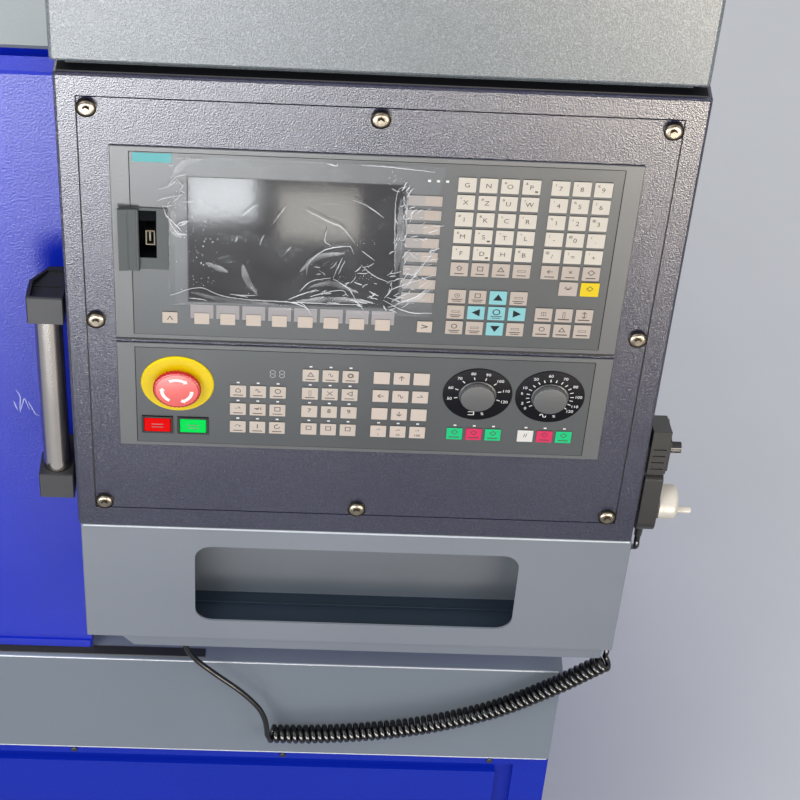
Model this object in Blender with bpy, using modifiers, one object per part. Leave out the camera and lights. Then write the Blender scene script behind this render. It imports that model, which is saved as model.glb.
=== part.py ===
"""A flat-bed turning lathe with its operator console, in metres, +Z up, front facing -Y.

The machine frame has its origin on the floor under the middle of the body. The empty at the root
shifts it so that the whole machine, console and rear cabinet included, is centred on the world origin.
Console sizes are given from the top left corner of the screen unit: x to the right, depth d to the rear,
z up.
"""
import math

import bmesh
import bpy
from mathutils import Matrix, Vector

MM = 0.001
GAP = 0.3 * MM                  # between pieces that touch
SHEET = 3 * MM                  # cover sheets

# Body
BODY_WIDTH = 2.300
BODY_FRONT = -0.600
BODY_BACK = 0.560
BASE_BOTTOM = 0.045
BASE_TOP = 0.673
BELT_TOP = 0.816
COVER_TOP = 1.518
COVER_FRONT = -0.550
HEADSTOCK_END = -0.196          # right face of the headstock housing
BASE_SETBACK = 2 * MM           # base face behind the belt face

# Base front fields
POST_WIDTH = 0.036
FLANGE_HEIGHT = 0.013
PLINTH_HEIGHT = 0.050
FIELD_COUNT = 3
FIELD_DEPTH = 0.010
FIELD_RAISE = 0.007
FIELD_MARGIN = 0.018
FOOT_RADIUS = 0.045
FOOT_PAD = 0.014
FOOT_STEM = 0.016
FOOT_INSET = 0.120

# Chip pan
PAN_FLOOR = 0.022
PAN_RIM = 0.050
PAN_EDGE_ROUND = 2.5 * MM

# Bed ways and spindle line
BED_MIDDLE_Y = 0.020
BED_HALF_WIDTH = 0.170
BED_WEB = 0.130
BED_TOP = 0.985
BED_LIP = 0.035
BED_FOOT = 0.040
WAY_HALF = 0.015                # half width and height of the V way
WAY_CENTRE = -0.130
BED_END_GAP = 0.008
SPINDLE_Z = 1.180

# Door
DOOR_FRONT = -0.590
DOOR_THICKNESS = 0.024
DOOR_LEFT = -0.225
DOOR_RIGHT_GAP = 2 * MM         # to the console side
DOOR_BOTTOM_GAP = 3.5 * MM
DOOR_TOP = 1.520
DOOR_TRAVEL = 0.870
OPENING_LEFT = -0.150
OPENING_RIGHT = 0.640
OPENING_BOTTOM = 0.860
OPENING_TOP = 1.455
WINDOW_LEFT = -0.060
WINDOW_RIGHT = 0.500
WINDOW_BOTTOM = 1.050
WINDOW_TOP = 1.400
WINDOW_CORNER = 0.030
GLASS_THICKNESS = 8 * MM
RAIL_HEIGHT = 0.020
TOP_RAIL_Z = 1.470

# Door handle, from the console side
HANDLE_CENTRE = -59.5 * MM
HANDLE_TOP = -169 * MM
HANDLE_LENGTH = 239 * MM
BRACKET_WIDTH = 31 * MM
BRACKET_HEIGHT = 29.5 * MM
BRACKET_FRONT = 8 * MM
TUBE_RADIUS = 12 * MM
TUBE_DEPTH = 24 * MM
BRACKET_SHOULDER = 29 * MM       # front block, from its face to where the foot narrows
BRACKET_CUT = 14 * MM            # the foot is narrower by this at the door
BRACKET_SLOPE = 11 * MM
BRACKET_WALL = 3 * MM
BRACKET_HOLLOW = 12 * MM

# Console, from the corner of the screen unit
PANEL_X = 0.7195
PANEL_Y = -0.652
PANEL_Z = 1.500
UNIT_WIDTH = 420 * MM
SCREEN_UNIT_HEIGHT = 200.6 * MM
CONTROL_UNIT_HEIGHT = 120.4 * MM
UNIT_GAP = 5.7 * MM
UNIT_PROUD = 1.5 * MM
UNIT_EDGE = 0.5 * MM
CONTROL_TOP = -SCREEN_UNIT_HEIGHT - UNIT_GAP
CONTROL_BOTTOM = CONTROL_TOP - CONTROL_UNIT_HEIGHT
PLATE_SIDE = 23.5 * MM          # plate beyond the units, at each side
PLATE_ABOVE = 44.4 * MM
PLATE_BELOW = 81.3 * MM
PLATE_RIGHT = UNIT_WIDTH + PLATE_SIDE + 1 * MM
PLATE_BOTTOM = CONTROL_BOTTOM - PLATE_BELOW
PLATE_THICKNESS = 2.7 * MM
PLATE_GROOVE = 1.2 * MM
CONSOLE_RIM_LEFT = 17.5 * MM    # console face beyond the plate
CONSOLE_RIM_RIGHT = 19.5 * MM
CONSOLE_RIM_TOP = 21.6 * MM
CONSOLE_RIM_BOTTOM = 25 * MM
CONSOLE_LEFT = -PLATE_SIDE - CONSOLE_RIM_LEFT
CONSOLE_RIGHT = PLATE_RIGHT + CONSOLE_RIM_RIGHT
CONSOLE_TOP = PLATE_ABOVE + CONSOLE_RIM_TOP
CONSOLE_BOTTOM = PLATE_BOTTOM - CONSOLE_RIM_BOTTOM
SCREW_INSET_SIDE = 7.4 * MM
SCREW_INSET_END = 8.8 * MM
SCREW_COLUMNS = (-PLATE_SIDE + SCREW_INSET_SIDE, UNIT_WIDTH / 2, PLATE_RIGHT - SCREW_INSET_SIDE)
SCREW_TOP_ROW = PLATE_ABOVE - SCREW_INSET_END
SCREW_LOW_ROW = PLATE_BOTTOM + SCREW_INSET_END
SCREW_ROWS = (SCREW_TOP_ROW, (SCREW_TOP_ROW + SCREW_LOW_ROW) / 2, SCREW_LOW_ROW)
SCREW_HEAD = 8 * MM
SCREW_DOME = 4.4 * MM
SCREW_SHANK = 3.7 * MM
SCREW_LENGTH = 9 * MM
SCREW_SOCKET = 2.9 * MM

# Shroud over the console and tray under it
SHROUD_INSET = 4 * MM
SHROUD_LEFT = CONSOLE_LEFT - 2 * MM
SHROUD_RIGHT = CONSOLE_RIGHT - SHROUD_INSET
SHROUD_GAP = 10 * MM
SHROUD_HEIGHT = 190 * MM
NECK_INSET = 11 * MM
TRAY_LEFT = CONSOLE_LEFT + 2 * MM
TRAY_RIGHT = CONSOLE_RIGHT + 0.5 * MM
TRAY_TOP = CONSOLE_BOTTOM - GAP
TRAY_HEIGHT = 153.5 * MM
TRAY_FOOT = 16 * MM
TRAY_FOOT_INSET = (31 * MM, 8 * MM, 1.5 * MM)
TRAY_FOOT_TAPER = (13 * MM, 2 * MM, 1.5 * MM)
TRAY_WALL = 2 * MM
SLOT_LEFT = TRAY_LEFT + 103 * MM
SLOT_RIGHT = TRAY_RIGHT - 100.5 * MM
SLOT_TOP = TRAY_TOP - 24.3 * MM
SLOT_BOTTOM = TRAY_TOP - TRAY_HEIGHT + 26.3 * MM
SLOT_CORNER = 16 * MM
POCKET_MARGIN = 9.5 * MM
POCKET_DEPTH = 46 * MM

# Screen unit and control unit
MODULE_INSET = 12 * MM
MODULE_DEPTH = 40 * MM
MODULE_GAP = 1 * MM
SCREEN_LEFT = 60.1 * MM
SCREEN_RIGHT = UNIT_WIDTH - 186.4 * MM
SCREEN_TOP = -27.1 * MM
SCREEN_BOTTOM = 42.4 * MM - SCREEN_UNIT_HEIGHT
SCREEN_SUNK = 1.6 * MM
GLASS_SUNK = 0.4 * MM
USB_FRAME = (13 * MM, 45 * MM, -123.5 * MM, -60 * MM)
USB_POCKET = (20.4 * MM, 35.6 * MM, -112 * MM, -72.6 * MM)
USB_SOCKET = (26.6 * MM, 34 * MM, -102 * MM, -87.3 * MM)
USB_DEPTH = 16 * MM
USB_FRAME_RAISE = 1 * MM
FLAP_WIDTH = 15.5 * MM
FLAP_THICKNESS = 2 * MM
FLAP_PIN = 1.5 * MM
FLAP_FOLD = 7.5 * MM
FLAP_LIFT = 4                   # degrees that the open flap stands off the unit

# Keys
KEY = (14 * MM, 14 * MM)
KEY_PITCH = (17 * MM, 17.45 * MM)
CURSOR_PITCH = (17 * MM, 17.2 * MM)
INPUT_KEY = (15 * MM, 14.2 * MM)
INPUT_PITCH = 17.9 * MM
HALT_PITCH = 16.8 * MM
KEY_RAISE = 0.9 * MM
CONTROL_KEY = (13.4 * MM, 13.2 * MM)
CONTROL_KEY_PITCH = (17 * MM, 21.15 * MM)
SOFT_KEY = (12.2 * MM, 11.6 * MM)
SOFT_KEYS = 8
SOFT_KEY_MARGIN = 0.9 * MM
SOFT_KEY_PITCH = (SCREEN_RIGHT - SCREEN_LEFT - 2 * SOFT_KEY_MARGIN) / SOFT_KEYS
SOFT_KEY_DROP = 11.7 * MM
SIDE_KEY = (27 * MM, 9.8 * MM)
SIDE_KEY_START = 10 * MM
SIDE_KEY_PITCH = (SCREEN_TOP - SCREEN_BOTTOM - 14.8 * MM) / SOFT_KEYS
DIAL_CENTRES = (UNIT_WIDTH - 112.4 * MM, UNIT_WIDTH - 50 * MM)
DIAL_Z = CONTROL_TOP - 45.2 * MM
DIAL_RADIUS = 29.8 * MM
DIAL_RAISE = 0.8 * MM
KNOB_RADIUS = 16 * MM
KNOB_HEIGHT = 5.5 * MM
KNOB_STEM = 3 * MM
KNOB_LIFT = 0.7 * MM
STOP_X = 50.7 * MM
STOP_Z = CONTROL_TOP - 44.8 * MM
STOP_COLLAR = 31.2 * MM
STOP_COLLAR_THICKNESS = 2 * MM
STOP_RADIUS = 20.5 * MM
STOP_HEIGHT = 10 * MM
STOP_TRAVEL = 3 * MM
STOP_STEM = 11 * MM
PUSH_CENTRES = (32.9 * MM, 63.7 * MM)
PUSH_Z = CONTROL_BOTTOM + 26.2 * MM
PUSH_SIZE = (22.8 * MM, 15.5 * MM)
PUSH_FRAME = 1.8 * MM
PUSH_PROUD = 2.2 * MM
PUSH_TRAVEL = 3 * MM
RUNNING = 0.3 * MM

# Hand-held wheel unit on the console side
HANGER = 1.8 * MM
HAND_FRONT = 4 * MM
HAND_WIDTH = 34 * MM
HAND_TOP = CONSOLE_BOTTOM + 138 * MM
HAND_WAIST = CONSOLE_BOTTOM + 81.5 * MM
HAND_WHEEL_Z = CONSOLE_BOTTOM + 33.5 * MM
HAND_END_Z = CONSOLE_BOTTOM + 20.5 * MM
HAND_SHOULDER = 12 * MM
HAND_RIBS = 4
HAND_RIB_PITCH = 8 * MM
HAND_THICKNESS = 17 * MM
HAND_HEAD_RAISE = 1.6 * MM
WHEEL_RADIUS = 16 * MM
WHEEL_THICKNESS = 19 * MM
CRANK_RADIUS = 3 * MM
CRANK_LENGTH = 15 * MM
CRANK_THROW = 10.5 * MM
SELECTOR_Z = CONSOLE_BOTTOM + 103.3 * MM
SELECTOR_RADIUS = 5.2 * MM
SELECTOR_LENGTH = 11.5 * MM

# Curly cord, its route from the corner of the screen unit, in millimetres
CORD_RADIUS = 2.6 * MM
COIL_RADIUS = 10 * MM
GLAND_X = 52
GLAND_DEPTH = 32
GLAND_LENGTH = 18
COIL_ROUTE = ((137.3, 38, -778.9), (178.3, 38, -777.9), (229.5, 38, -772.2), (280.4, 38, -761.7),
              (325, 38, -746.5), (369.9, 38, -725.4), (417.4, 38, -692.3), (445.2, 38, -669.2),
              (468.5, 38, -649))
LEAD_ROUTE = ((53, 32.3, -640), (62, 33, -658), (81, 33.5, -680), (106, 34, -706.5),
              (123.5, 33.5, -729.5), (131, 32, -746), (133.8, 30.8, -762), (134, 30.6, -776))
TAIL_ROUTE = ((470.3, 48.5, -634), (470.2, 54, -618), (470.6, 60, -600), (471.2, 63, -570),
              (471.8, 61, -530), (472.6, 46, -490))
HAND_GLAND_X = CONSOLE_RIGHT / MM + 9
HAND_GLAND_DEPTH = (HAND_FRONT + HAND_WIDTH / 2) / MM
HAND_GLAND_LENGTH = 15
COIL_REACH = 7.4                 # the wound cord's middle line, from the coil's axis

# Spindle, chuck and jaws
SPINDLE_RADIUS = 0.055
SPINDLE_BORE = 0.026
SPINDLE_LENGTH = 0.204
BOSS_RADIUS = 0.095
BOSS_THICKNESS = 0.018
NOSE_RADIUS = 0.080
NOSE_THICKNESS = 0.012
CHUCK_RADIUS = 0.100
CHUCK_THICKNESS = 0.080
JAW_WIDTH = 0.022
JAW_SLOT_DEPTH = 0.015
JAW_INNER = 0.034
JAW_OUTER = 0.092
JAW_STEPS = ((0.056, 0.040), (0.075, 0.025), (0.092, 0.012))
JAW_ANGLES = (90, 210, 330)

# Carriage, cross slide, tool post and tailstock
CARRIAGE_X = 0.100
CARRIAGE_WIDTH = 0.220
CARRIAGE_HALF_DEPTH = 0.205
CARRIAGE_TOP = 1.030
APRON_DROP = 0.055
CROSS_WIDTH = 0.150
CROSS_FRONT = -0.300
CROSS_BACK = 0.080
CROSS_HEIGHT = 0.036
POST_Y = -0.150
POST_SIZE = 0.120
POST_TOP = 1.215
TOOL_SHANK = 0.020
TOOL_REACH = 0.028
TAILSTOCK_X = 0.800
TAILSTOCK_LENGTH = 0.220
TAILSTOCK_BARREL = 0.062
QUILL_RADIUS = 0.030
QUILL_DEPTH = 0.180
QUILL_PROUD = 0.010
CENTRE_LENGTH = 0.030

# Electrical cabinet on the back
CABINET_LEFT = 0.200
CABINET_RIGHT = 0.900
CABINET_BOTTOM = 0.850
CABINET_TOP = 1.450
CABINET_DEPTH = 0.190
CABINET_WALL = 0.012
CABINET_DOOR = 0.018
CABINET_HINGE = 0.003
LATCH_LENGTH = 0.090

BODY_HALF = BODY_WIDTH / 2
CONSOLE_BACK = COVER_FRONT - GAP
CRANK_TIP = (PANEL_X + CONSOLE_RIGHT + HANGER + HAND_THICKNESS + WHEEL_THICKNESS + CRANK_LENGTH
             + 3 * GAP)
STOP_TIP = PANEL_Y - UNIT_PROUD - STOP_HEIGHT
CABINET_BACK = BODY_BACK + GAP + CABINET_DEPTH
LATCH_TIP = CABINET_BACK + 2 * GAP + CABINET_DOOR + 0.022
WORLD_SHIFT = (-(CRANK_TIP - BODY_HALF) / 2, -(STOP_TIP + LATCH_TIP) / 2, 0)


def clear_scene():
    for obj in list(bpy.data.objects):
        bpy.data.objects.remove(obj, do_unlink=True)


def new_collection(name):
    collection = bpy.data.collections.new(name)
    bpy.context.scene.collection.children.link(collection)
    return collection


def paint(name, color, roughness=0.5, metallic=0.0, alpha=1.0):
    material = bpy.data.materials.new(name)
    material.use_nodes = True
    shader = material.node_tree.nodes["Principled BSDF"]
    shader.inputs["Base Color"].default_value = (*color, 1.0)
    shader.inputs["Roughness"].default_value = roughness
    shader.inputs["Metallic"].default_value = metallic
    shader.inputs["Alpha"].default_value = alpha
    material.diffuse_color = (*color, alpha)
    return material


clear_scene()
PARTS = new_collection("turning_lathe")
CUTTERS = new_collection("cutters")
MACHINE = bpy.data.objects.new("machine", None)
PARTS.objects.link(MACHINE)
MACHINE.location = WORLD_SHIFT
ORIGINS = {MACHINE.name: Vector((0, 0, 0))}

BLUE = paint("machine_blue", (0.045, 0.055, 0.50), 0.35)
GREY = paint("belt_grey", (0.25, 0.28, 0.31), 0.4)
SHROUD_GREY = paint("shroud_grey", (0.33, 0.36, 0.37), 0.5)
SLATE = paint("console_slate", (0.085, 0.085, 0.12), 0.45)
UNIT_GREY = paint("unit_grey", (0.12, 0.14, 0.14), 0.5)
SCREEN_BLACK = paint("screen_glass", (0.02, 0.02, 0.02), 0.1)
BLACK = paint("black_plastic", (0.02, 0.02, 0.022), 0.5)
CREAM = paint("cream_plastic", (0.75, 0.68, 0.55), 0.5)
YELLOW = paint("yellow_plastic", (1.0, 0.9, 0.0), 0.4)
RED = paint("red_plastic", (0.7, 0.03, 0.04), 0.35)
GREEN = paint("green_plastic", (0.0, 0.6, 0.2), 0.35)
KNOB_GREY = paint("knob_grey", (0.3, 0.31, 0.32), 0.4)
WHEEL_WHITE = paint("wheel_white", (0.8, 0.79, 0.76), 0.4)
STEEL = paint("bright_steel", (0.6, 0.6, 0.6), 0.25, 1.0)
CAST = paint("cast_iron_grey", (0.22, 0.23, 0.24), 0.5)
RUBBER = paint("cord_rubber", (0.015, 0.015, 0.015), 0.45)
WINDOW = paint("window_glass", (0.6, 0.65, 0.66), 0.05, 0.0, 0.35)


def panel(x, depth, z):
    """Gives the machine point of a console point."""
    return Vector((PANEL_X + x, PANEL_Y + depth, PANEL_Z + z))


def mesh_from(bm, name):
    mesh = bpy.data.meshes.new(name)
    bm.to_mesh(mesh)
    bm.free()
    return mesh


def place(name, mesh, material, pivot=(0, 0, 0), parent=None, collection=None):
    """Makes a node of a mesh in machine coordinates, with its origin at the pivot."""
    obj = bpy.data.objects.new(name, mesh)
    (collection or PARTS).objects.link(obj)
    mesh.transform(Matrix.Translation(-Vector(pivot)))
    hang(obj, pivot, parent)
    if material:
        mesh.materials.append(material)
    return obj


def hang(obj, pivot, parent=None):
    """Puts an object's origin at a machine point under its carrier."""
    carrier = parent or MACHINE
    obj.parent = carrier
    obj.location = Vector(pivot) - ORIGINS[carrier.name]
    ORIGINS[obj.name] = Vector(pivot)


def box(low, high):
    bm = bmesh.new()
    bmesh.ops.create_cube(bm, size=1)
    bmesh.ops.scale(bm, vec=[b - a for a, b in zip(low, high)], verts=bm.verts)
    bmesh.ops.translate(bm, vec=[(a + b) / 2 for a, b in zip(low, high)], verts=bm.verts)
    return bm


def panel_box(x, depth, z):
    """A box between two console x, two depths and two z."""
    return box(panel(min(x), min(depth), min(z)), panel(max(x), max(depth), max(z)))


def edges_along(bm, axis):
    chosen = []
    for edge in bm.edges:
        run = edge.verts[1].co - edge.verts[0].co
        if abs(run[axis]) > 0.999 * run.length:
            chosen.append(edge)
    return chosen


def round_edges(bm, axis, radius, segments=4):
    """Rounds a box's four edges along one axis."""
    bmesh.ops.bevel(bm, geom=edges_along(bm, axis), offset=radius, segments=segments,
                    affect='EDGES', profile=0.5)
    return bm


def together(shapes):
    """Puts separate shapes in one mesh."""
    whole = bmesh.new()
    for shape in shapes:
        part = mesh_from(shape, "piece")
        whole.from_mesh(part)
        bpy.data.meshes.remove(part)
    return whole


TURNS = {'X': Matrix.Rotation(math.pi / 2, 4, 'Y'), '-Y': Matrix.Rotation(math.pi / 2, 4, 'X'),
         'Y': Matrix.Rotation(-math.pi / 2, 4, 'X'), 'Z': Matrix.Identity(4),
         '-Z': Matrix.Rotation(math.pi, 4, 'X')}


def rod(start, length, radius, way, segments=24, tip_radius=None):
    """A round bar from its start point along a way."""
    bm = bmesh.new()
    tip = radius if tip_radius is None else tip_radius
    bmesh.ops.create_cone(bm, cap_ends=True, segments=segments, radius1=radius, radius2=tip,
                          depth=length)
    bmesh.ops.translate(bm, vec=(0, 0, length / 2), verts=bm.verts)
    bmesh.ops.transform(bm, matrix=Matrix.Translation(Vector(start)) @ TURNS[way], verts=bm.verts)
    return bm


def extruded(outline, low, high, way):
    """A flat outline stretched along X (outline in y, z), Y (in x, z) or Z (in x, y)."""
    curve = bpy.data.curves.new("outline", 'CURVE')
    curve.dimensions = '2D'
    curve.fill_mode = 'BOTH'
    curve.extrude = (high - low) / 2
    spline = curve.splines.new('POLY')
    spline.points.add(len(outline) - 1)
    for point, (u, v) in zip(spline.points, outline):
        point.co = (u, v, 0, 1)
    spline.use_cyclic_u = True
    middle = (low + high) / 2
    if way == 'X':
        turn = Matrix(((0, 0, 1, middle), (1, 0, 0, 0), (0, 1, 0, 0), (0, 0, 0, 1)))
    elif way == 'Z':
        turn = Matrix.Translation((0, 0, middle))
    else:
        turn = Matrix(((1, 0, 0, 0), (0, 0, -1, middle), (0, 1, 0, 0), (0, 0, 0, 1)))
    return curve_mesh(curve, turn)


def curve_mesh(curve, turn=Matrix.Identity(4)):
    """Makes a closed mesh of a curve and drops the curve."""
    guide = bpy.data.objects.new("guide", curve)
    CUTTERS.objects.link(guide)
    graph = bpy.context.evaluated_depsgraph_get()
    mesh = bpy.data.meshes.new_from_object(guide.evaluated_get(graph))
    bpy.data.objects.remove(guide, do_unlink=True)
    bm = bmesh.new()
    bm.from_mesh(mesh)
    bmesh.ops.remove_doubles(bm, verts=bm.verts, dist=0.01 * MM)
    bmesh.ops.transform(bm, matrix=turn, verts=bm.verts)
    bmesh.ops.recalc_face_normals(bm, faces=bm.faces)
    bpy.data.meshes.remove(mesh)
    return bm


def fluted(start, length, radius, flute, count, way, per_flute=4):
    """A round knob with shallow flutes, from its start point along a way."""
    bm = bmesh.new()
    segments = count * per_flute
    bmesh.ops.create_cone(bm, cap_ends=True, segments=segments, radius1=radius, radius2=radius,
                          depth=length)
    for vert in bm.verts:
        angle = math.atan2(vert.co.y, vert.co.x)
        share = 1 - flute / radius * (0.5 + 0.5 * math.cos(count * angle))
        vert.co.x *= share
        vert.co.y *= share
    bmesh.ops.translate(bm, vec=(0, 0, length / 2), verts=bm.verts)
    bmesh.ops.transform(bm, matrix=Matrix.Translation(Vector(start)) @ TURNS[way], verts=bm.verts)
    return bm


def turned(name, profile, material, pivot, way, steps=32, parent=None):
    """A lathe-turned piece: radius and height pairs, run down the outer side, about its axis."""
    mesh = bpy.data.meshes.new(name)
    closed = profile[0][0] > 0
    edges = [(i, i + 1) for i in range(len(profile) - 1)]
    if closed:
        edges.append((len(profile) - 1, 0))
    mesh.from_pydata([(radius, 0, height) for radius, height in profile], edges, [])
    mesh.materials.append(material)
    obj = bpy.data.objects.new(name, mesh)
    PARTS.objects.link(obj)
    screw = obj.modifiers.new("turn", 'SCREW')
    screw.axis = 'Z'
    screw.steps = steps
    screw.render_steps = steps
    screw.use_merge_vertices = True
    screw.merge_threshold = 0.01 * MM
    obj.rotation_euler = TURNS[way].to_euler()
    hang(obj, pivot, parent)
    return obj


def trim(obj, bm, operation='DIFFERENCE'):
    """Cuts a shape from a node, or joins it on."""
    cutter = place(obj.name + "_cutter", mesh_from(bm, "cutter"), None, collection=CUTTERS)
    cutter.hide_render = True
    cutter.display_type = 'WIRE'
    cut = obj.modifiers.new(operation.lower(), 'BOOLEAN')
    cut.operation = operation
    cut.solver = 'EXACT'
    cut.object = cutter
    return cut


def join(obj, bm):
    return trim(obj, bm, 'UNION')


def soften(obj, width, segments=1):
    """Breaks the sharp edges of a folded or cast piece."""
    bevel = obj.modifiers.new("edge", 'BEVEL')
    bevel.width = width
    bevel.segments = segments
    bevel.limit_method = 'ANGLE'
    bevel.angle_limit = math.radians(40)
    return bevel


def smooth(obj, angle=35):
    obj.data.shade_smooth()
    obj.data.set_sharp_from_angle(angle=math.radians(angle))


def build_base():
    """The welded base: a box with sunk front and end fields, on six screw feet."""
    front = BODY_FRONT + BASE_SETBACK
    base = place("base_cabinet", mesh_from(box((-BODY_HALF, front, BASE_BOTTOM),
                                               (BODY_HALF, BODY_BACK, BASE_TOP)), "base"), BLUE)
    pitch = (BODY_WIDTH - POST_WIDTH) / FIELD_COUNT
    low = BASE_BOTTOM + PLINTH_HEIGHT
    high = BASE_TOP - FLANGE_HEIGHT
    sunk = []
    raised = []
    for index in range(FIELD_COUNT):
        left = -BODY_HALF + POST_WIDTH + index * pitch
        right = left + pitch - POST_WIDTH
        sunk.append(box((left, front - FIELD_DEPTH, low), (right, front + FIELD_DEPTH, high)))
        raised.append(box((left + FIELD_MARGIN, front + FIELD_DEPTH - FIELD_RAISE, low + FIELD_MARGIN),
                          (right - FIELD_MARGIN, front + 2 * FIELD_DEPTH, high - FIELD_MARGIN)))
    for side in (-1, 1):
        outer = side * (BODY_HALF + FIELD_DEPTH)
        inner = side * (BODY_HALF - FIELD_DEPTH)
        sunk.append(box((min(outer, inner), front + 2 * POST_WIDTH, low),
                        (max(outer, inner), BODY_BACK - 2 * POST_WIDTH, high)))
    trim(base, together(sunk))
    join(base, together(raised))
    feet = []
    for x in (-BODY_HALF + FOOT_INSET, 0, BODY_HALF - FOOT_INSET):
        for y in (BODY_FRONT + FOOT_INSET, BODY_BACK - FOOT_INSET):
            feet.append(rod((x, y, 0), FOOT_PAD, FOOT_RADIUS, 'Z', 16, FOOT_RADIUS * 0.85))
            feet.append(rod((x, y, FOOT_PAD / 2), BASE_BOTTOM, FOOT_STEM, 'Z', 12))
    pads = feet[0::2]
    stems = feet[1::2]
    join(base, together(pads))
    join(base, together(stems))
    return base


def build_pan():
    """The grey chip pan whose rim shows as the belt round the machine."""
    bm = box((-BODY_HALF, BODY_FRONT, BASE_TOP + GAP), (BODY_HALF, BODY_BACK, BELT_TOP))
    rim = [e for e in edges_along(bm, 0) if min(v.co.z for v in e.verts) > BASE_TOP + 0.05
           and max(v.co.y for v in e.verts) < 0]
    bmesh.ops.bevel(bm, geom=rim, offset=PAN_EDGE_ROUND, segments=4, affect='EDGES', profile=0.5)
    pan = place("chip_pan", mesh_from(bm, "pan"), GREY)
    trim(pan, box((HEADSTOCK_END + PAN_RIM, COVER_FRONT + PAN_RIM, BASE_TOP + PAN_FLOOR),
                  (BODY_HALF - PAN_RIM, BODY_BACK - PAN_RIM, BELT_TOP + PAN_RIM)))
    return pan


def way_notch(lift):
    """The V way's outline points, raised by a clearance for the piece that rides on it."""
    side = lift * math.sqrt(2)
    return [(BED_MIDDLE_Y + WAY_CENTRE - WAY_HALF - side, BED_TOP + lift),
            (BED_MIDDLE_Y + WAY_CENTRE, BED_TOP + WAY_HALF + lift + side),
            (BED_MIDDLE_Y + WAY_CENTRE + WAY_HALF + side, BED_TOP + lift)]


def build_bed():
    """The cast bed, one section along its length with a V way and a flat way."""
    floor = BASE_TOP + PAN_FLOOR + GAP
    half = BED_HALF_WIDTH
    lip = BED_TOP - BED_LIP
    right = [(half, floor), (half, floor + BED_FOOT), (BED_WEB, floor + 1.5 * BED_FOOT),
             (BED_WEB, lip - 0.02), (half, lip), (half, BED_TOP), (0.09, BED_TOP), (0.07, BED_TOP - 0.03)]
    outline = [(BED_MIDDLE_Y + y, z) for y, z in right]
    outline += [(BED_MIDDLE_Y - 0.07, BED_TOP - 0.03), (BED_MIDDLE_Y - 0.09, BED_TOP)]
    outline += list(reversed(way_notch(0)))
    outline += [(BED_MIDDLE_Y - y, z) for y, z in reversed(right[:6])]
    bm = extruded(outline, HEADSTOCK_END + PAN_RIM + BED_END_GAP, BODY_HALF - PAN_RIM - BED_END_GAP, 'X')
    return place("machine_bed", mesh_from(bm, "bed"), CAST)


def build_headstock():
    """The closed headstock housing with the spindle's front bearing cover and a louvred end."""
    floor = BELT_TOP + GAP
    cover = place("headstock_housing", mesh_from(
        box((-BODY_HALF, COVER_FRONT, floor), (HEADSTOCK_END, BODY_BACK, COVER_TOP)), "housing"), BLUE)
    soften(cover, 4 * MM)
    slots = []
    for row in range(8):
        z = floor + 0.16 + 0.03 * row
        slots.append(box((-BODY_HALF - 0.01, -0.12, z), (-BODY_HALF + 0.012, 0.16, z + 0.012)))
    trim(cover, together(slots))
    join(cover, rod((HEADSTOCK_END - 0.004, BED_MIDDLE_Y, SPINDLE_Z), BOSS_THICKNESS + 0.004,
                    BOSS_RADIUS, 'X', 32))
    trim(cover, rod((HEADSTOCK_END - SPINDLE_LENGTH, BED_MIDDLE_Y, SPINDLE_Z),
                    SPINDLE_LENGTH + 2 * BOSS_THICKNESS, SPINDLE_RADIUS + RUNNING, 'X', 32))
    return cover


def build_covers():
    """Front, back, end and roof sheets round the work area."""
    floor = BELT_TOP + GAP
    roof = COVER_TOP - SHEET
    left = HEADSTOCK_END + GAP
    front = place("front_cover", mesh_from(
        box((left, COVER_FRONT, floor), (BODY_HALF, COVER_FRONT + SHEET, roof - GAP)), "front"), BLUE)
    trim(front, round_edges(box((OPENING_LEFT, COVER_FRONT - SHEET, OPENING_BOTTOM),
                                (OPENING_RIGHT, COVER_FRONT + 2 * SHEET, OPENING_TOP)), 1, 0.02, 3))
    place("back_cover", mesh_from(
        box((left, BODY_BACK - SHEET, floor), (BODY_HALF, BODY_BACK, roof - GAP)), "back"), BLUE)
    place("end_cover", mesh_from(
        box((BODY_HALF - SHEET, COVER_FRONT + SHEET + GAP, floor),
            (BODY_HALF, BODY_BACK - SHEET - GAP, roof - GAP)), "end"), BLUE)
    ribs = [box((left + 0.12 + 0.2 * i, COVER_FRONT + 0.10, roof + SHEET / 2),
                (left + 0.16 + 0.2 * i, BODY_BACK - 0.10, COVER_TOP + 4 * MM)) for i in range(6)]
    top = place("roof_cover", mesh_from(
        box((left, COVER_FRONT, roof), (BODY_HALF, BODY_BACK, COVER_TOP)), "roof"), SHROUD_GREY)
    join(top, together(ribs))


def door_span():
    return DOOR_LEFT, PANEL_X + CONSOLE_LEFT - DOOR_RIGHT_GAP


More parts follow.
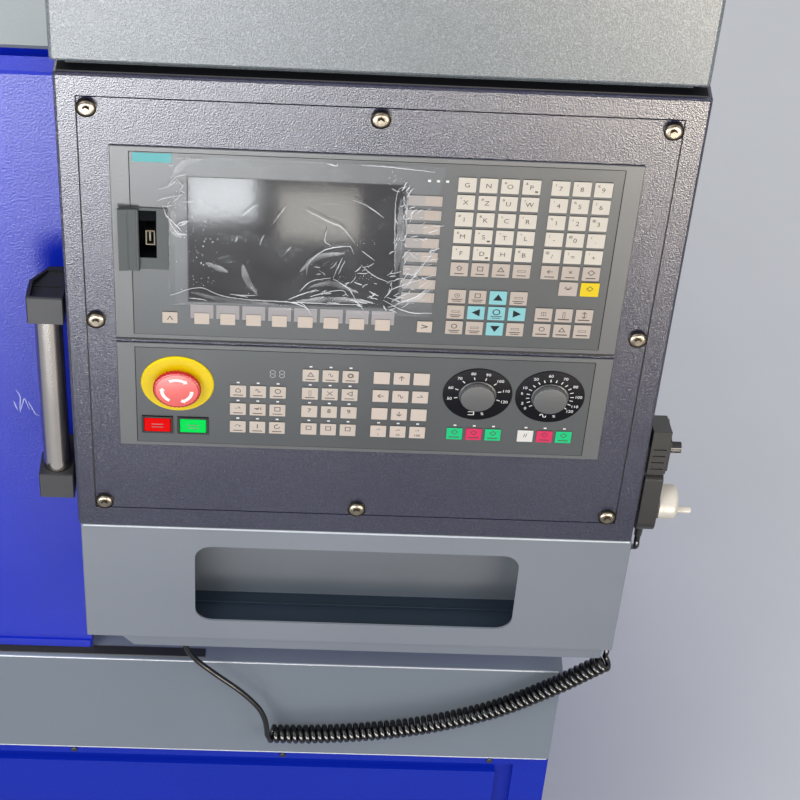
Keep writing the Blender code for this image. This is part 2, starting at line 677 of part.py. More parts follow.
def build_door():
    """The sliding door with its window, handle and the rails that guide it."""
    left, right = door_span()
    back = DOOR_FRONT + DOOR_THICKNESS
    bottom = BELT_TOP + DOOR_BOTTOM_GAP
    corner = (left, DOOR_FRONT, bottom)
    leaf = place("door_leaf", mesh_from(box(corner, (right, back, DOOR_TOP)), "leaf"), BLUE, corner)
    soften(leaf, 2 * MM)
    trim(leaf, round_edges(box((WINDOW_LEFT, DOOR_FRONT - 0.01, WINDOW_BOTTOM),
                               (WINDOW_RIGHT, back + 0.01, WINDOW_TOP)), 1, WINDOW_CORNER))
    rebate = 0.012
    trim(leaf, round_edges(box((WINDOW_LEFT - rebate, back - GLASS_THICKNESS - GAP, WINDOW_BOTTOM - rebate),
                               (WINDOW_RIGHT + rebate, back + 0.01, WINDOW_TOP + rebate)), 1, WINDOW_CORNER))
    groove = bottom + 0.016
    trim(leaf, box((left - 0.01, DOOR_FRONT - 0.01, groove - 4 * MM),
                   (right + 0.01, DOOR_FRONT + 2 * MM, groove + 4 * MM)))
    inset = rebate - GAP
    place("door_window", mesh_from(round_edges(
        box((WINDOW_LEFT - inset, back - GLASS_THICKNESS, WINDOW_BOTTOM - inset),
            (WINDOW_RIGHT + inset, back, WINDOW_TOP + inset)), 1, WINDOW_CORNER - GAP), "pane"),
        WINDOW, corner, leaf)
    build_handle(leaf, corner)
    rail_left = -BODY_HALF + 0.03
    place("door_top_rail", mesh_from(
        box((rail_left, back + GAP, TOP_RAIL_Z), (right, COVER_FRONT - GAP, TOP_RAIL_Z + RAIL_HEIGHT)),
        "top_rail"), STEEL)
    middle = (DOOR_FRONT + back) / 2
    place("door_bottom_rail", mesh_from(
        box((rail_left, middle - 7 * MM, BELT_TOP + GAP), (right, middle + 7 * MM, bottom - GAP)),
        "bottom_rail"), STEEL)


def build_handle(leaf, corner):
    """The tubular door handle: a stainless tube between two moulded brackets."""
    centre = PANEL_X + HANDLE_CENTRE
    top = PANEL_Z + HANDLE_TOP
    front = PANEL_Y + BRACKET_FRONT
    half = BRACKET_WIDTH / 2
    tube_y = PANEL_Y + TUBE_DEPTH
    low = top - HANDLE_LENGTH
    seat = 8 * MM
    curve = bpy.data.curves.new("tube", 'CURVE')
    curve.dimensions = '3D'
    curve.bevel_depth = TUBE_RADIUS
    curve.bevel_resolution = 4
    curve.use_fill_caps = True
    spline = curve.splines.new('POLY')
    spline.points.add(1)
    spline.points[0].co = (centre, tube_y, low + BRACKET_HEIGHT - seat + GAP, 1)
    spline.points[1].co = (centre, tube_y, top - BRACKET_HEIGHT + seat - GAP, 1)
    tube = place("handle_tube", mesh_from(curve_mesh(curve), "tube"), STEEL, corner, leaf)
    smooth(tube)
    for name, high, outward in (("handle_bracket_top", top, 1),
                                ("handle_bracket_bottom", low + BRACKET_HEIGHT, -1)):
        bracket = place(name, mesh_from(
            extruded(bracket_plan(centre), high - BRACKET_HEIGHT, high, 'Z'), "bracket"), BLACK, corner, leaf)
        soften(bracket, 1 * MM)
        rim = high if outward > 0 else high - BRACKET_HEIGHT
        trim(bracket, bracket_slope(centre, rim, outward))
        inner = high - BRACKET_HEIGHT if outward > 0 else high
        start = inner - 0.01 if outward > 0 else inner - seat
        trim(bracket, rod((centre, tube_y, start), seat + 0.01, TUBE_RADIUS + GAP, 'Z', 24))
        floor = rim - outward * BRACKET_HOLLOW
        hollow = extruded(bracket_plan(centre, BRACKET_WALL), min(floor, floor + outward * 0.03),
                          max(floor, floor + outward * 0.03), 'Z')
        trim(bracket, hollow)
        shoulder = front + BRACKET_SHOULDER
        web_top = rim - outward * BRACKET_SLOPE
        join(bracket, box((centre - half + 1 * MM, shoulder - 1 * MM, min(floor - outward * MM, web_top)),
                          (centre + half - 1 * MM, shoulder + 1 * MM, max(floor - outward * MM, web_top))))


def bracket_plan(centre, wall=0):
    """A bracket's plan, or its hollow's inside a wall: a front block and a foot that narrows."""
    half = BRACKET_WIDTH / 2 - wall
    front = PANEL_Y + BRACKET_FRONT + wall
    shoulder = PANEL_Y + BRACKET_FRONT + BRACKET_SHOULDER
    seat = DOOR_FRONT - GAP
    back = seat - 2 * wall
    cut = BRACKET_CUT * (back - shoulder) / (seat - shoulder)
    return [(centre - half, front), (centre + half, front), (centre + half, back),
            (centre - half + cut, back), (centre - half, shoulder)]


def bracket_slope(centre, rim, outward):
    """The wedge that slopes a bracket's open side down to its foot."""
    start = PANEL_Y + BRACKET_FRONT + 2 * MM
    end = DOOR_FRONT + 2 * MM
    wedge = [(start, rim), (end, rim - outward * BRACKET_SLOPE), (end, rim + outward * 5 * MM),
             (start, rim + outward * 5 * MM)]
    half = BRACKET_WIDTH / 2 + 1 * MM
    return extruded(wedge[::outward], centre - half, centre + half, 'X')


def build_console():
    """The console box, its screwed plate and the eight button head screws."""
    low = panel(CONSOLE_LEFT, 0, CONSOLE_BOTTOM)
    high = panel(CONSOLE_RIGHT, 0, CONSOLE_TOP)
    high.y = CONSOLE_BACK
    housing = place("console_housing", mesh_from(box(low, high), "console"), SLATE)
    soften(housing, 2.5 * MM, 2)
    groove = PLATE_GROOVE
    trim(housing, panel_box((-PLATE_SIDE - groove, PLATE_RIGHT + groove), (-0.01, PLATE_THICKNESS + GAP),
                            (PLATE_BOTTOM - groove, PLATE_ABOVE + groove)))
    inset = MODULE_INSET - MODULE_GAP
    for top, height in unit_spans():
        trim(housing, panel_box((inset, UNIT_WIDTH - inset), (0, MODULE_DEPTH + MODULE_GAP),
                                (top - height + inset, top - inset)))
    plate = place("console_plate", mesh_from(
        panel_box((-PLATE_SIDE, PLATE_RIGHT), (0, PLATE_THICKNESS), (PLATE_BOTTOM, PLATE_ABOVE)), "plate"),
        SLATE)
    for top, height in unit_spans():
        trim(plate, panel_box((inset, UNIT_WIDTH - inset), (-0.01, 0.01),
                              (top - height + inset, top - inset)))
    spots = screw_spots()
    holes = [rod(spot - Vector((0, 0.002, 0)), 2 * SCREW_LENGTH, SCREW_SHANK + GAP, 'Y', 10)
             for spot in spots]
    trim(plate, together(holes))
    holes = [rod(spot, SCREW_LENGTH + 2 * MM, SCREW_SHANK + GAP, 'Y', 10) for spot in spots]
    trim(housing, together(holes))
    for index, spot in enumerate(spots):
        build_screw("console_screw_%d" % (index + 1), spot)


def screw_spots():
    spots = []
    for row, z in enumerate(SCREW_ROWS):
        for column, x in enumerate(SCREW_COLUMNS):
            if (row, column) != (1, 1):
                spots.append(panel(x, 0, z))
    return spots


def build_screw(name, spot):
    """A button head screw: domed head with a hexagon socket, on a short shank."""
    dome = [(SCREW_HEAD * math.sin(a), SCREW_DOME * math.cos(a) + GAP)
            for a in [math.radians(step) for step in (0, 30, 55, 75, 90)]]
    profile = dome + [(SCREW_SHANK, GAP), (SCREW_SHANK, -SCREW_LENGTH), (0, -SCREW_LENGTH)]
    screw = turned(name, profile, STEEL, spot, '-Y', 16)
    smooth(screw, 45)
    trim(screw, rod(spot - Vector((0, 2 * SCREW_DOME, 0)), 2 * SCREW_DOME - 1.5 * MM, SCREW_SOCKET,
                    'Y', 6))
    return screw


def unit_spans():
    """Top edge and height of the screen unit and of the control unit."""
    return ((0, SCREEN_UNIT_HEIGHT), (-SCREEN_UNIT_HEIGHT - UNIT_GAP, CONTROL_UNIT_HEIGHT))


def unit_body(name, top, height):
    """A unit's front plate with its module behind, through the console plate."""
    body = place(name, mesh_from(
        panel_box((0, UNIT_WIDTH), (-UNIT_PROUD, -GAP), (top - height, top)), name), UNIT_GREY)
    soften(body, UNIT_EDGE)
    inset = MODULE_INSET
    join(body, panel_box((inset, UNIT_WIDTH - inset), (-UNIT_PROUD / 2, MODULE_DEPTH),
                         (top - inset, top - height + inset)))
    return body


def key(x, z, size):
    """A key cap on a unit's face, from its top left corner."""
    return panel_box((x, x + size[0]), (-UNIT_PROUD - KEY_RAISE, -UNIT_PROUD + KEY_RAISE),
                     (z, z - size[1]))


def key_block(x, z, columns, rows, size, pitch):
    return [key(x + column * pitch[0], z - row * pitch[1], size)
            for row in range(rows) for column in range(columns)]


def screen_keys():
    """The letter, number, cursor and soft keys round the screen."""
    right = UNIT_WIDTH
    low = -SCREEN_UNIT_HEIGHT
    cursor = CURSOR_PITCH
    keys = key_block(right - 145.6 * MM, -17.35 * MM, 4, 6, KEY, KEY_PITCH)
    keys += key_block(right - 71.5 * MM, -17.35 * MM, 3, 6, KEY, KEY_PITCH)
    keys += key_block(right - 55.1 * MM, low + 79.1 * MM, 2, 1, INPUT_KEY, (INPUT_PITCH, 0))
    keys += key_block(right - 145.3 * MM, low + 66.6 * MM, 4, 3, KEY, cursor)
    keys += key_block(right - 72 * MM, low + 49.8 * MM, 3, 2, KEY, cursor)
    soft = SCREEN_BOTTOM - SOFT_KEY_DROP
    inset = (SOFT_KEY_PITCH - SOFT_KEY[0]) / 2 + SOFT_KEY_MARGIN
    keys += key_block(SCREEN_LEFT + inset, soft, SOFT_KEYS, 1, SOFT_KEY, (SOFT_KEY_PITCH, 0))
    keys += key_block(SCREEN_RIGHT + 2.2 * MM, SCREEN_TOP - SIDE_KEY_START, 1, SOFT_KEYS, SIDE_KEY,
                      (0, SIDE_KEY_PITCH))
    keys += key_block(SCREEN_LEFT - 20.9 * MM, soft, 1, 1, SOFT_KEY, KEY_PITCH)
    keys += key_block(SCREEN_RIGHT + 17.4 * MM, soft - 0.2 * MM, 1, 1, SOFT_KEY, KEY_PITCH)
    return keys


def control_keys():
    """The three mode blocks and the six start, stop and spindle keys."""
    right = UNIT_WIDTH
    first = CONTROL_TOP - 23.2 * MM
    keys = key_block(95.7 * MM, first - 21.3 * MM, 3, 3, CONTROL_KEY, CONTROL_KEY_PITCH)
    keys += key_block(157.2 * MM, first, 3, 4, CONTROL_KEY, CONTROL_KEY_PITCH)
    keys += key_block(217.8 * MM, first, 3, 4, CONTROL_KEY, CONTROL_KEY_PITCH)
    last = CONTROL_BOTTOM + 34 * MM
    keys += key_block(right - 135.7 * MM, last, 3, 1, CONTROL_KEY, (HALT_PITCH, 0))
    keys += key_block(right - 73.7 * MM, last, 3, 1, CONTROL_KEY, (HALT_PITCH, 0))
    return keys


def build_screen_unit():
    """The screen unit: keypad, sunk display glass, and the socket bay with its open flap."""
    top, height = unit_spans()[0]
    unit = unit_body("screen_unit", top, height)
    trim(unit, panel_box((SCREEN_LEFT, SCREEN_RIGHT), (-UNIT_PROUD - 0.01, -UNIT_PROUD + SCREEN_SUNK),
                         (SCREEN_BOTTOM, SCREEN_TOP)))
    x0, x1, z0, z1 = USB_FRAME
    join(unit, panel_box((x0, x1), (-UNIT_PROUD - USB_FRAME_RAISE, -UNIT_PROUD + USB_FRAME_RAISE), (z0, z1)))
    x0, x1, z0, z1 = USB_POCKET
    trim(unit, panel_box((x0, x1), (-0.02, -UNIT_PROUD + USB_DEPTH), (z0, z1)))
    join(unit, together(screen_keys())).use_self = True
    place("screen_glass", mesh_from(panel_box(
        (SCREEN_LEFT + GAP, SCREEN_RIGHT - GAP),
        (-UNIT_PROUD + GLASS_SUNK, -UNIT_PROUD + SCREEN_SUNK - GAP),
        (SCREEN_BOTTOM + GAP, SCREEN_TOP - GAP)), "glass"), SCREEN_BLACK)
    x0, x1, z0, z1 = USB_SOCKET
    floor = -UNIT_PROUD + USB_DEPTH
    socket = place("usb_socket", mesh_from(panel_box((x0, x1), (floor - 12 * MM, floor - GAP),
                                                     (z0, z1)), "socket"), CREAM)
    trim(socket, panel_box((x0 + 1.2 * MM, x1 - 1.2 * MM), (floor - 0.02, floor - 4 * MM),
                           (z0 + 1.2 * MM, z1 - 1.2 * MM)))
    build_flap()


def build_flap():
    """The bay's folding cover, swung open and back over the frame's left side."""
    _, _, z0, z1 = USB_FRAME
    depth = -UNIT_PROUD - USB_FRAME_RAISE - GAP - FLAP_PIN
    pin = panel(USB_POCKET[0], depth, (z0 + z1) / 2)
    half = (z1 - z0) / 2
    bm = box(pin + Vector((-FLAP_WIDTH, -FLAP_THICKNESS / 2, -half)),
             pin + Vector((0, FLAP_THICKNESS / 2, half)))
    flap = place("usb_flap", mesh_from(bm, "flap"), UNIT_GREY, pin)
    join(flap, rod(pin - Vector((0, 0, half)), 2 * half, FLAP_PIN, 'Z', 12))
    fold = pin.x - FLAP_FOLD
    trim(flap, box((fold - 0.6 * MM, pin.y - 0.01, pin.z - half - 0.01),
                   (fold + 0.6 * MM, pin.y - FLAP_THICKNESS / 4, pin.z + half + 0.01)))
    bpy.context.view_layer.update()
    graph = bpy.context.evaluated_depsgraph_get()
    mesh = bpy.data.meshes.new_from_object(flap.evaluated_get(graph))
    flap.modifiers.clear()
    mesh.transform(Matrix.Rotation(math.radians(FLAP_LIFT), 4, 'Z'))
    flap.data = mesh
    return flap


def build_control_unit():
    """The control unit: key blocks, button frames, dial plates, knobs and the emergency stop."""
    top, height = unit_spans()[1]
    unit = unit_body("control_unit", top, height)
    join(unit, together(control_keys())).use_self = True
    face = -UNIT_PROUD
    dials = [rod(panel(x, face + DIAL_RAISE, DIAL_Z), 2 * DIAL_RAISE, DIAL_RADIUS, '-Y', 40)
             for x in DIAL_CENTRES]
    join(unit, together(dials))
    frames = [push_box(x, PUSH_FRAME, (face - 1.4 * MM, face + 1.4 * MM)) for x in PUSH_CENTRES]
    join(unit, together(frames))
    wells = [push_box(x, RUNNING, (face - 0.01, face + 14 * MM)) for x in PUSH_CENTRES]
    wells += [rod(panel(x, face - 0.01, DIAL_Z), 0.022, KNOB_STEM + RUNNING, 'Y', 16)
              for x in DIAL_CENTRES]
    wells.append(rod(panel(STOP_X, face - 0.01, STOP_Z), 0.038, STOP_STEM + RUNNING, 'Y', 24))
    trim(unit, together(wells))
    for name, x, colour in (("red_button", PUSH_CENTRES[0], RED), ("green_button", PUSH_CENTRES[1], GREEN)):
        pivot = panel(x, face, PUSH_Z)
        cap = place(name, mesh_from(push_box(x, 0, (face - PUSH_PROUD, face + 9 * MM)), name), colour, pivot)
        soften(cap, 0.8 * MM)
    for name, x in (("spindle_override_knob", DIAL_CENTRES[0]), ("feed_override_knob", DIAL_CENTRES[1])):
        build_knob(name, x)
    build_stop()


def push_box(x, margin, depth):
    """A button-sized box with a margin round it."""
    half_x = PUSH_SIZE[0] / 2 + margin
    half_z = PUSH_SIZE[1] / 2 + margin
    return panel_box((x - half_x, x + half_x), depth, (PUSH_Z - half_z, PUSH_Z + half_z))


def build_knob(name, x):
    """A fluted override knob, plain but for a pointer notch in its face."""
    base = -UNIT_PROUD - DIAL_RAISE - KNOB_LIFT
    pivot = panel(x, base, DIAL_Z)
    knob = place(name, mesh_from(fluted(pivot, KNOB_HEIGHT, KNOB_RADIUS, 0.7 * MM, 20, '-Y'), name),
                 KNOB_GREY, pivot)
    face = base - KNOB_HEIGHT
    trim(knob, panel_box((x - 0.6 * MM, x + 0.6 * MM), (face - 1 * MM, face + 0.5 * MM),
                         (DIAL_Z + 0.6 * KNOB_RADIUS, DIAL_Z + 0.86 * KNOB_RADIUS)))
    join(knob, rod(panel(x, base - 2 * MM, DIAL_Z), 13 * MM, KNOB_STEM, 'Y', 16))
    smooth(knob)
    return knob


def build_stop():
    """The emergency stop: a mushroom head on its stem, over a yellow collar."""
    collar_back = -UNIT_PROUD - GAP
    inner = STOP_STEM + RUNNING
    height = STOP_COLLAR_THICKNESS
    turned("stop_collar", [(inner, height), (STOP_COLLAR - 1 * MM, height), (STOP_COLLAR, height - 1 * MM),
                           (STOP_COLLAR, 0), (inner, 0)],
           YELLOW, panel(STOP_X, collar_back, STOP_Z), '-Y', 40)
    under = STOP_COLLAR_THICKNESS + GAP + STOP_TRAVEL + 0.4 * MM
    radius = STOP_RADIUS
    tip = STOP_HEIGHT
    profile = [(0, tip), (0.6 * radius, tip - 0.3 * MM), (0.87 * radius, tip - 1 * MM),
               (0.97 * radius, tip - 1.8 * MM), (radius, tip - 2.6 * MM), (radius, under + 1 * MM),
               (0.9 * radius, under), (STOP_STEM, under), (STOP_STEM, -0.016), (0, -0.016)]
    head = turned("stop_button", profile, RED, panel(STOP_X, -UNIT_PROUD, STOP_Z), '-Y', 32)
    smooth(head, 40)


def build_shroud():
    """The upper box over the console, on a narrower neck."""
    back = CONSOLE_BACK
    bottom = CONSOLE_TOP + SHROUD_GAP
    low = panel(SHROUD_LEFT, 0, bottom)
    high = panel(SHROUD_RIGHT, 0, bottom + SHROUD_HEIGHT)
    high.y = back
    shroud = place("console_shroud", mesh_from(box(low, high), "shroud"), SHROUD_GREY)
    soften(shroud, 3 * MM, 2)
    neck_high = panel(SHROUD_RIGHT - NECK_INSET, 0, bottom + 0.02)
    neck_high.y = back - NECK_INSET
    join(shroud, box(panel(SHROUD_LEFT + NECK_INSET, 12 * MM, CONSOLE_TOP + GAP), neck_high))
    return shroud


def build_tray():
    """The folded tool tray under the console, with a round-cornered slot and a tapered foot."""
    top = TRAY_TOP
    bottom = top - TRAY_HEIGHT
    low = panel(TRAY_LEFT, 0, bottom)
    high = panel(TRAY_RIGHT, 0, top)
    high.y = CONSOLE_BACK
    bm = box(low, high)
    face = min(bm.faces, key=lambda f: f.calc_center_median().z)
    face = drawn(bm, face, TRAY_FOOT_INSET, 0)
    drawn(bm, face, TRAY_FOOT_TAPER, TRAY_FOOT)
    tray = place("tool_tray", mesh_from(bm, "tray"), GREY)
    soften(tray, 2 * MM)
    margin = POCKET_MARGIN
    trim(tray, round_edges(panel_box((SLOT_LEFT, SLOT_RIGHT), (-0.01, POCKET_DEPTH / 2),
                                     (SLOT_BOTTOM, SLOT_TOP)), 1, SLOT_CORNER, 6))
    trim(tray, panel_box((SLOT_LEFT - margin, SLOT_RIGHT + margin), (TRAY_WALL, POCKET_DEPTH),
                         (SLOT_BOTTOM - margin, SLOT_TOP + margin)))
    foot = bottom - TRAY_FOOT
    gland = GLAND_LENGTH * MM
    turned("tray_cord_gland", [(0, -GAP), (7 * MM, -GAP), (7 * MM, -8 * MM), (5 * MM, -9 * MM),
                               (3.8 * MM, -gland), (0, -gland)],
           BLACK, panel(GLAND_X * MM, GLAND_DEPTH * MM, foot), 'Z', 12)
    return tray


def drawn(bm, face, sides, drop):
    """Draws a downward face inwards (left, right, front and back) and down, and returns the new face."""
    left, right, deep = sides
    middle = face.calc_center_median()
    grown = bmesh.ops.extrude_face_region(bm, geom=[face])
    for vert in [v for v in grown["geom"] if isinstance(v, bmesh.types.BMVert)]:
        vert.co.z -= drop
        vert.co.x += left if vert.co.x < middle.x else -right
        vert.co.y += deep if vert.co.y < middle.y else -deep
    bmesh.ops.delete(bm, geom=[f for f in bm.faces if f is face], context='FACES_ONLY')
    return next(f for f in grown["geom"] if isinstance(f, bmesh.types.BMFace))


def build_hand_unit():
    """The hand-held wheel unit, hung on a hook plate at the console's right side."""
    side = CONSOLE_RIGHT + GAP
    mid = HAND_FRONT + HAND_WIDTH / 2
    place("handwheel_hanger", mesh_from(panel_box((side, side + HANGER), (mid - 13 * MM, mid + 13 * MM),
                                                  (HAND_WAIST - 50 * MM, HAND_TOP - 22 * MM)),
                                        "hanger"), BLACK)
    back = side + HANGER + GAP
    body = place("handwheel_body", mesh_from(hand_outline(back), "hand"), BLACK)
    soften(body, 1 * MM)
    margin = 2 * MM
    join(body, panel_box((back + HAND_THICKNESS / 2, back + HAND_THICKNESS + HAND_HEAD_RAISE),
                         (HAND_FRONT + margin, HAND_FRONT + HAND_WIDTH - margin),
                         (HAND_WAIST + 6 * MM, HAND_TOP - HAND_SHOULDER - margin)))
    for rib in range(HAND_RIBS):
        z = SELECTOR_Z + (rib - (HAND_RIBS - 1) / 2) * HAND_RIB_PITCH
        join(body, panel_box((back + 3 * MM, back + HAND_THICKNESS - 3 * MM),
                             (HAND_FRONT - 0.8 * MM, HAND_FRONT + 1 * MM), (z - 0.7 * MM, z + 0.7 * MM)))
    face = back + HAND_THICKNESS
    stem = 2 * MM
    trim(body, rod(panel(back + 4 * MM, mid, HAND_WHEEL_Z), 0.03, stem + RUNNING, 'X', 12))
    trim(body, rod(panel(back + 4 * MM, mid, SELECTOR_Z), 0.03, stem + RUNNING, 'X', 12))
    bottom = HAND_END_Z - HAND_WIDTH / 2
    join(body, rod(panel(HAND_GLAND_X * MM, HAND_GLAND_DEPTH * MM, bottom + 12 * MM),
                   12 * MM + HAND_GLAND_LENGTH * MM, 4.6 * MM, '-Z', 12, 3.6 * MM))
    build_wheel(face + GAP, mid, stem)
    selector = place("axis_selector", mesh_from(
        fluted(panel(face + HAND_HEAD_RAISE + GAP, mid, SELECTOR_Z), SELECTOR_LENGTH, SELECTOR_RADIUS,
               0.4 * MM, 10, 'X'), "selector"), BLACK, panel(face, mid, SELECTOR_Z))
    join(selector, rod(panel(face - 10 * MM, mid, SELECTOR_Z), 10 * MM + SELECTOR_LENGTH, stem, 'X', 12))


def hand_outline(back):
    """The wheel unit's side outline: a square head, a waist and a round end."""
    front = PANEL_Y + HAND_FRONT
    rear = front + HAND_WIDTH
    centre = (front + rear) / 2
    radius = HAND_WIDTH / 2
    waist = 5 * MM
    z_waist = PANEL_Z + HAND_WAIST
    outline = [(front, PANEL_Z + HAND_TOP), (front, z_waist + 4 * MM), (front + waist, z_waist + 1 * MM),
               (front + waist, z_waist - 1 * MM), (front, z_waist - 4 * MM)]
    steps = 12
    for step in range(steps + 1):
        angle = math.pi + math.pi * step / steps
        outline.append((centre + radius * math.cos(angle), PANEL_Z + HAND_END_Z + radius * math.sin(angle)))
    outline += [(rear, z_waist - 4 * MM), (rear - waist, z_waist - 1 * MM), (rear - waist, z_waist + 1 * MM),
                (rear, z_waist + 4 * MM), (rear, PANEL_Z + HAND_TOP - HAND_SHOULDER)]
    return extruded(outline, PANEL_X + back, PANEL_X + back + HAND_THICKNESS, 'X')


def build_wheel(face, mid, stem):
    """The pulse wheel with its crank pin."""
    pivot = panel(face, mid, HAND_WHEEL_Z)
    wheel = place("pulse_wheel", mesh_from(
        fluted(pivot, WHEEL_THICKNESS, WHEEL_RADIUS, 0.8 * MM, 18, 'X'), "wheel"), WHEEL_WHITE, pivot)
    pin = panel(face + WHEEL_THICKNESS - 3 * MM, mid, HAND_WHEEL_Z - CRANK_THROW)
    join(wheel, rod(pin, CRANK_LENGTH + 3 * MM, CRANK_RADIUS, 'X', 12))
    join(wheel, rod(panel(face - 10 * MM, mid, HAND_WHEEL_Z), 12 * MM, stem, 'X', 12))
    smooth(wheel)


def smooth_route(points, step):
    """Reads points at even steps from a smooth curve through the route's own points."""
    points = [Vector(p) for p in points]
    padded = [2 * points[0] - points[1]] + points + [2 * points[-1] - points[-2]]
    fine = []
    for a, b, c, d in zip(padded, padded[1:], padded[2:], padded[3:]):
        for i in range(24):
            t = i / 24
            fine.append(0.5 * (2 * b + (c - a) * t + (2 * a - 5 * b + 4 * c - d) * t * t
                               + (3 * b - a - 3 * c + d) * t ** 3))
    fine.append(points[-1])
    total = sum((q - p).length for p, q in zip(fine, fine[1:]))
    count = max(2, round(total / step))
    even = [fine[0]]
    wanted = total / count
    travelled = 0
    for p, q in zip(fine, fine[1:]):
        run = (q - p).length
        while travelled + run >= wanted * len(even) and len(even) < count:
            even.append(p.lerp(q, (wanted * len(even) - travelled) / run))
        travelled += run
    even.append(fine[-1])
    return even


def hose(name, route, radius, step, resolution):
    curve = bpy.data.curves.new(name, 'CURVE')
    curve.dimensions = '3D'
    curve.bevel_depth = radius
    curve.bevel_resolution = resolution
    curve.use_fill_caps = True
    points = smooth_route(route, step)
    spline = curve.splines.new('POLY')
    spline.points.add(len(points) - 1)
    for point, place_mm in zip(spline.points, points):
        point.co = (*panel(*(place_mm * MM)), 1)
    node = place(name, mesh_from(curve_mesh(curve), name), RUBBER)
    smooth(node, 60)
    return node


def build_cord():
    """The curly cord: a lead from the tray gland, the coil, and a tail up to the wheel unit."""
    coil = [Vector(point) for point in smooth_route(COIL_ROUTE, 9)]
    hose("cord_coil", COIL_ROUTE, COIL_RADIUS, 9, 3)
    gap = GAP / MM
    foot = (TRAY_TOP - TRAY_HEIGHT - TRAY_FOOT) / MM - GLAND_LENGTH - gap
    hose("cord_lead", [(GLAND_X, GLAND_DEPTH, foot)] + list(LEAD_ROUTE), CORD_RADIUS, 6, 2)
    ahead = (coil[-1] - coil[-2]).normalized()
    up = Vector((-ahead.z, 0, ahead.x))
    leave = coil[-1] + (CORD_RADIUS / MM + 2 * gap) * ahead + Vector((0, COIL_REACH, 0))
    top = (HAND_END_Z - HAND_WIDTH / 2) / MM - HAND_GLAND_LENGTH - gap
    tail = [leave - 7 * up, leave + 3 * up] + list(TAIL_ROUTE)
    tail += [(HAND_GLAND_X, HAND_GLAND_DEPTH, top - low) for low in (16, 8, 0.3)]
    hose("cord_tail", tail, CORD_RADIUS, 6, 2)


def build_spindle():
    """The hollow spindle with its nose, the chuck and three stepped jaws."""
    axis_end = HEADSTOCK_END + BOSS_THICKNESS
    start = HEADSTOCK_END - SPINDLE_LENGTH + 2 * MM
    shaft = axis_end + GAP - start
    nose = shaft + NOSE_THICKNESS
    pivot = Vector((start, BED_MIDDLE_Y, SPINDLE_Z))
    spindle = turned("spindle", [(SPINDLE_BORE, nose), (NOSE_RADIUS, nose), (NOSE_RADIUS, shaft),
                                 (SPINDLE_RADIUS, shaft), (SPINDLE_RADIUS, 0), (SPINDLE_BORE, 0)],
                     STEEL, pivot, 'X', 32)
    smooth(spindle)
    back = start + nose + GAP
    pivot = Vector((back, BED_MIDDLE_Y, SPINDLE_Z))
    edge = 4 * MM
    chuck = turned("chuck_body", [(SPINDLE_BORE, CHUCK_THICKNESS), (CHUCK_RADIUS - edge, CHUCK_THICKNESS),
                                  (CHUCK_RADIUS, CHUCK_THICKNESS - edge), (CHUCK_RADIUS, edge),
                                  (CHUCK_RADIUS - edge, 0), (SPINDLE_BORE, 0)], STEEL, pivot, 'X', 48,
                   spindle)
    smooth(chuck)
    chuck.location = Vector((0, 0, nose + GAP))
    chuck.rotation_euler = (0, 0, 0)
    front = back + CHUCK_THICKNESS
    half = JAW_WIDTH / 2 + RUNNING
    slots = []
    for angle in JAW_ANGLES:
        slot = box((front - JAW_SLOT_DEPTH - GAP, -half, 0.020), (front + 0.01, half, CHUCK_RADIUS + 0.02))
        slots.append(slot_turn(slot, angle))
    for slot in slots:
        trim(chuck, slot)
    for index, angle in enumerate(JAW_ANGLES):
        jaw = place("chuck_jaw_%d" % (index + 1), mesh_from(slot_turn(jaw_shape(front), angle), "jaw"),
                    STEEL, slot_point(front, JAW_INNER, angle))
        soften(jaw, 0.8 * MM)


def slot_turn(bm, angle):
    """Turns a shape made above the spindle line to its jaw angle."""
    turn = Matrix.Translation((0, BED_MIDDLE_Y, SPINDLE_Z)) @ Matrix.Rotation(
        math.radians(angle - 90), 4, 'X')
    bmesh.ops.transform(bm, matrix=turn, verts=bm.verts)
    return bm


def slot_point(x, radius, angle):
    return Vector((x, BED_MIDDLE_Y + radius * math.cos(math.radians(angle)),
                   SPINDLE_Z + radius * math.sin(math.radians(angle))))


def jaw_shape(front):
    """A stepped jaw above the spindle line, its foot in the chuck's slot."""
    outline = [(front - JAW_SLOT_DEPTH, JAW_OUTER), (front - JAW_SLOT_DEPTH, JAW_INNER)]
    radius = JAW_INNER
    for outer, height in JAW_STEPS:
        outline += [(front + height, radius), (front + height, outer)]
        radius = outer
    return extruded(outline, -JAW_WIDTH / 2, JAW_WIDTH / 2, 'Y')


def saddle_outline(half, top, drop):
    """A piece that rides on both ways, with lips down each side of the bed."""
    lift = GAP
    side = BED_HALF_WIDTH + lift
    left = BED_MIDDLE_Y - side
    right = BED_MIDDLE_Y + side
    outline = [(BED_MIDDLE_Y - half, top), (BED_MIDDLE_Y - half, BED_TOP - drop), (left, BED_TOP - drop),
               (left, BED_TOP + lift)]
    outline += way_notch(lift)
    outline += [(right, BED_TOP + lift), (right, BED_TOP - drop + 0.02),
                (BED_MIDDLE_Y + half, BED_TOP - drop + 0.02), (BED_MIDDLE_Y + half, top)]
    return outline


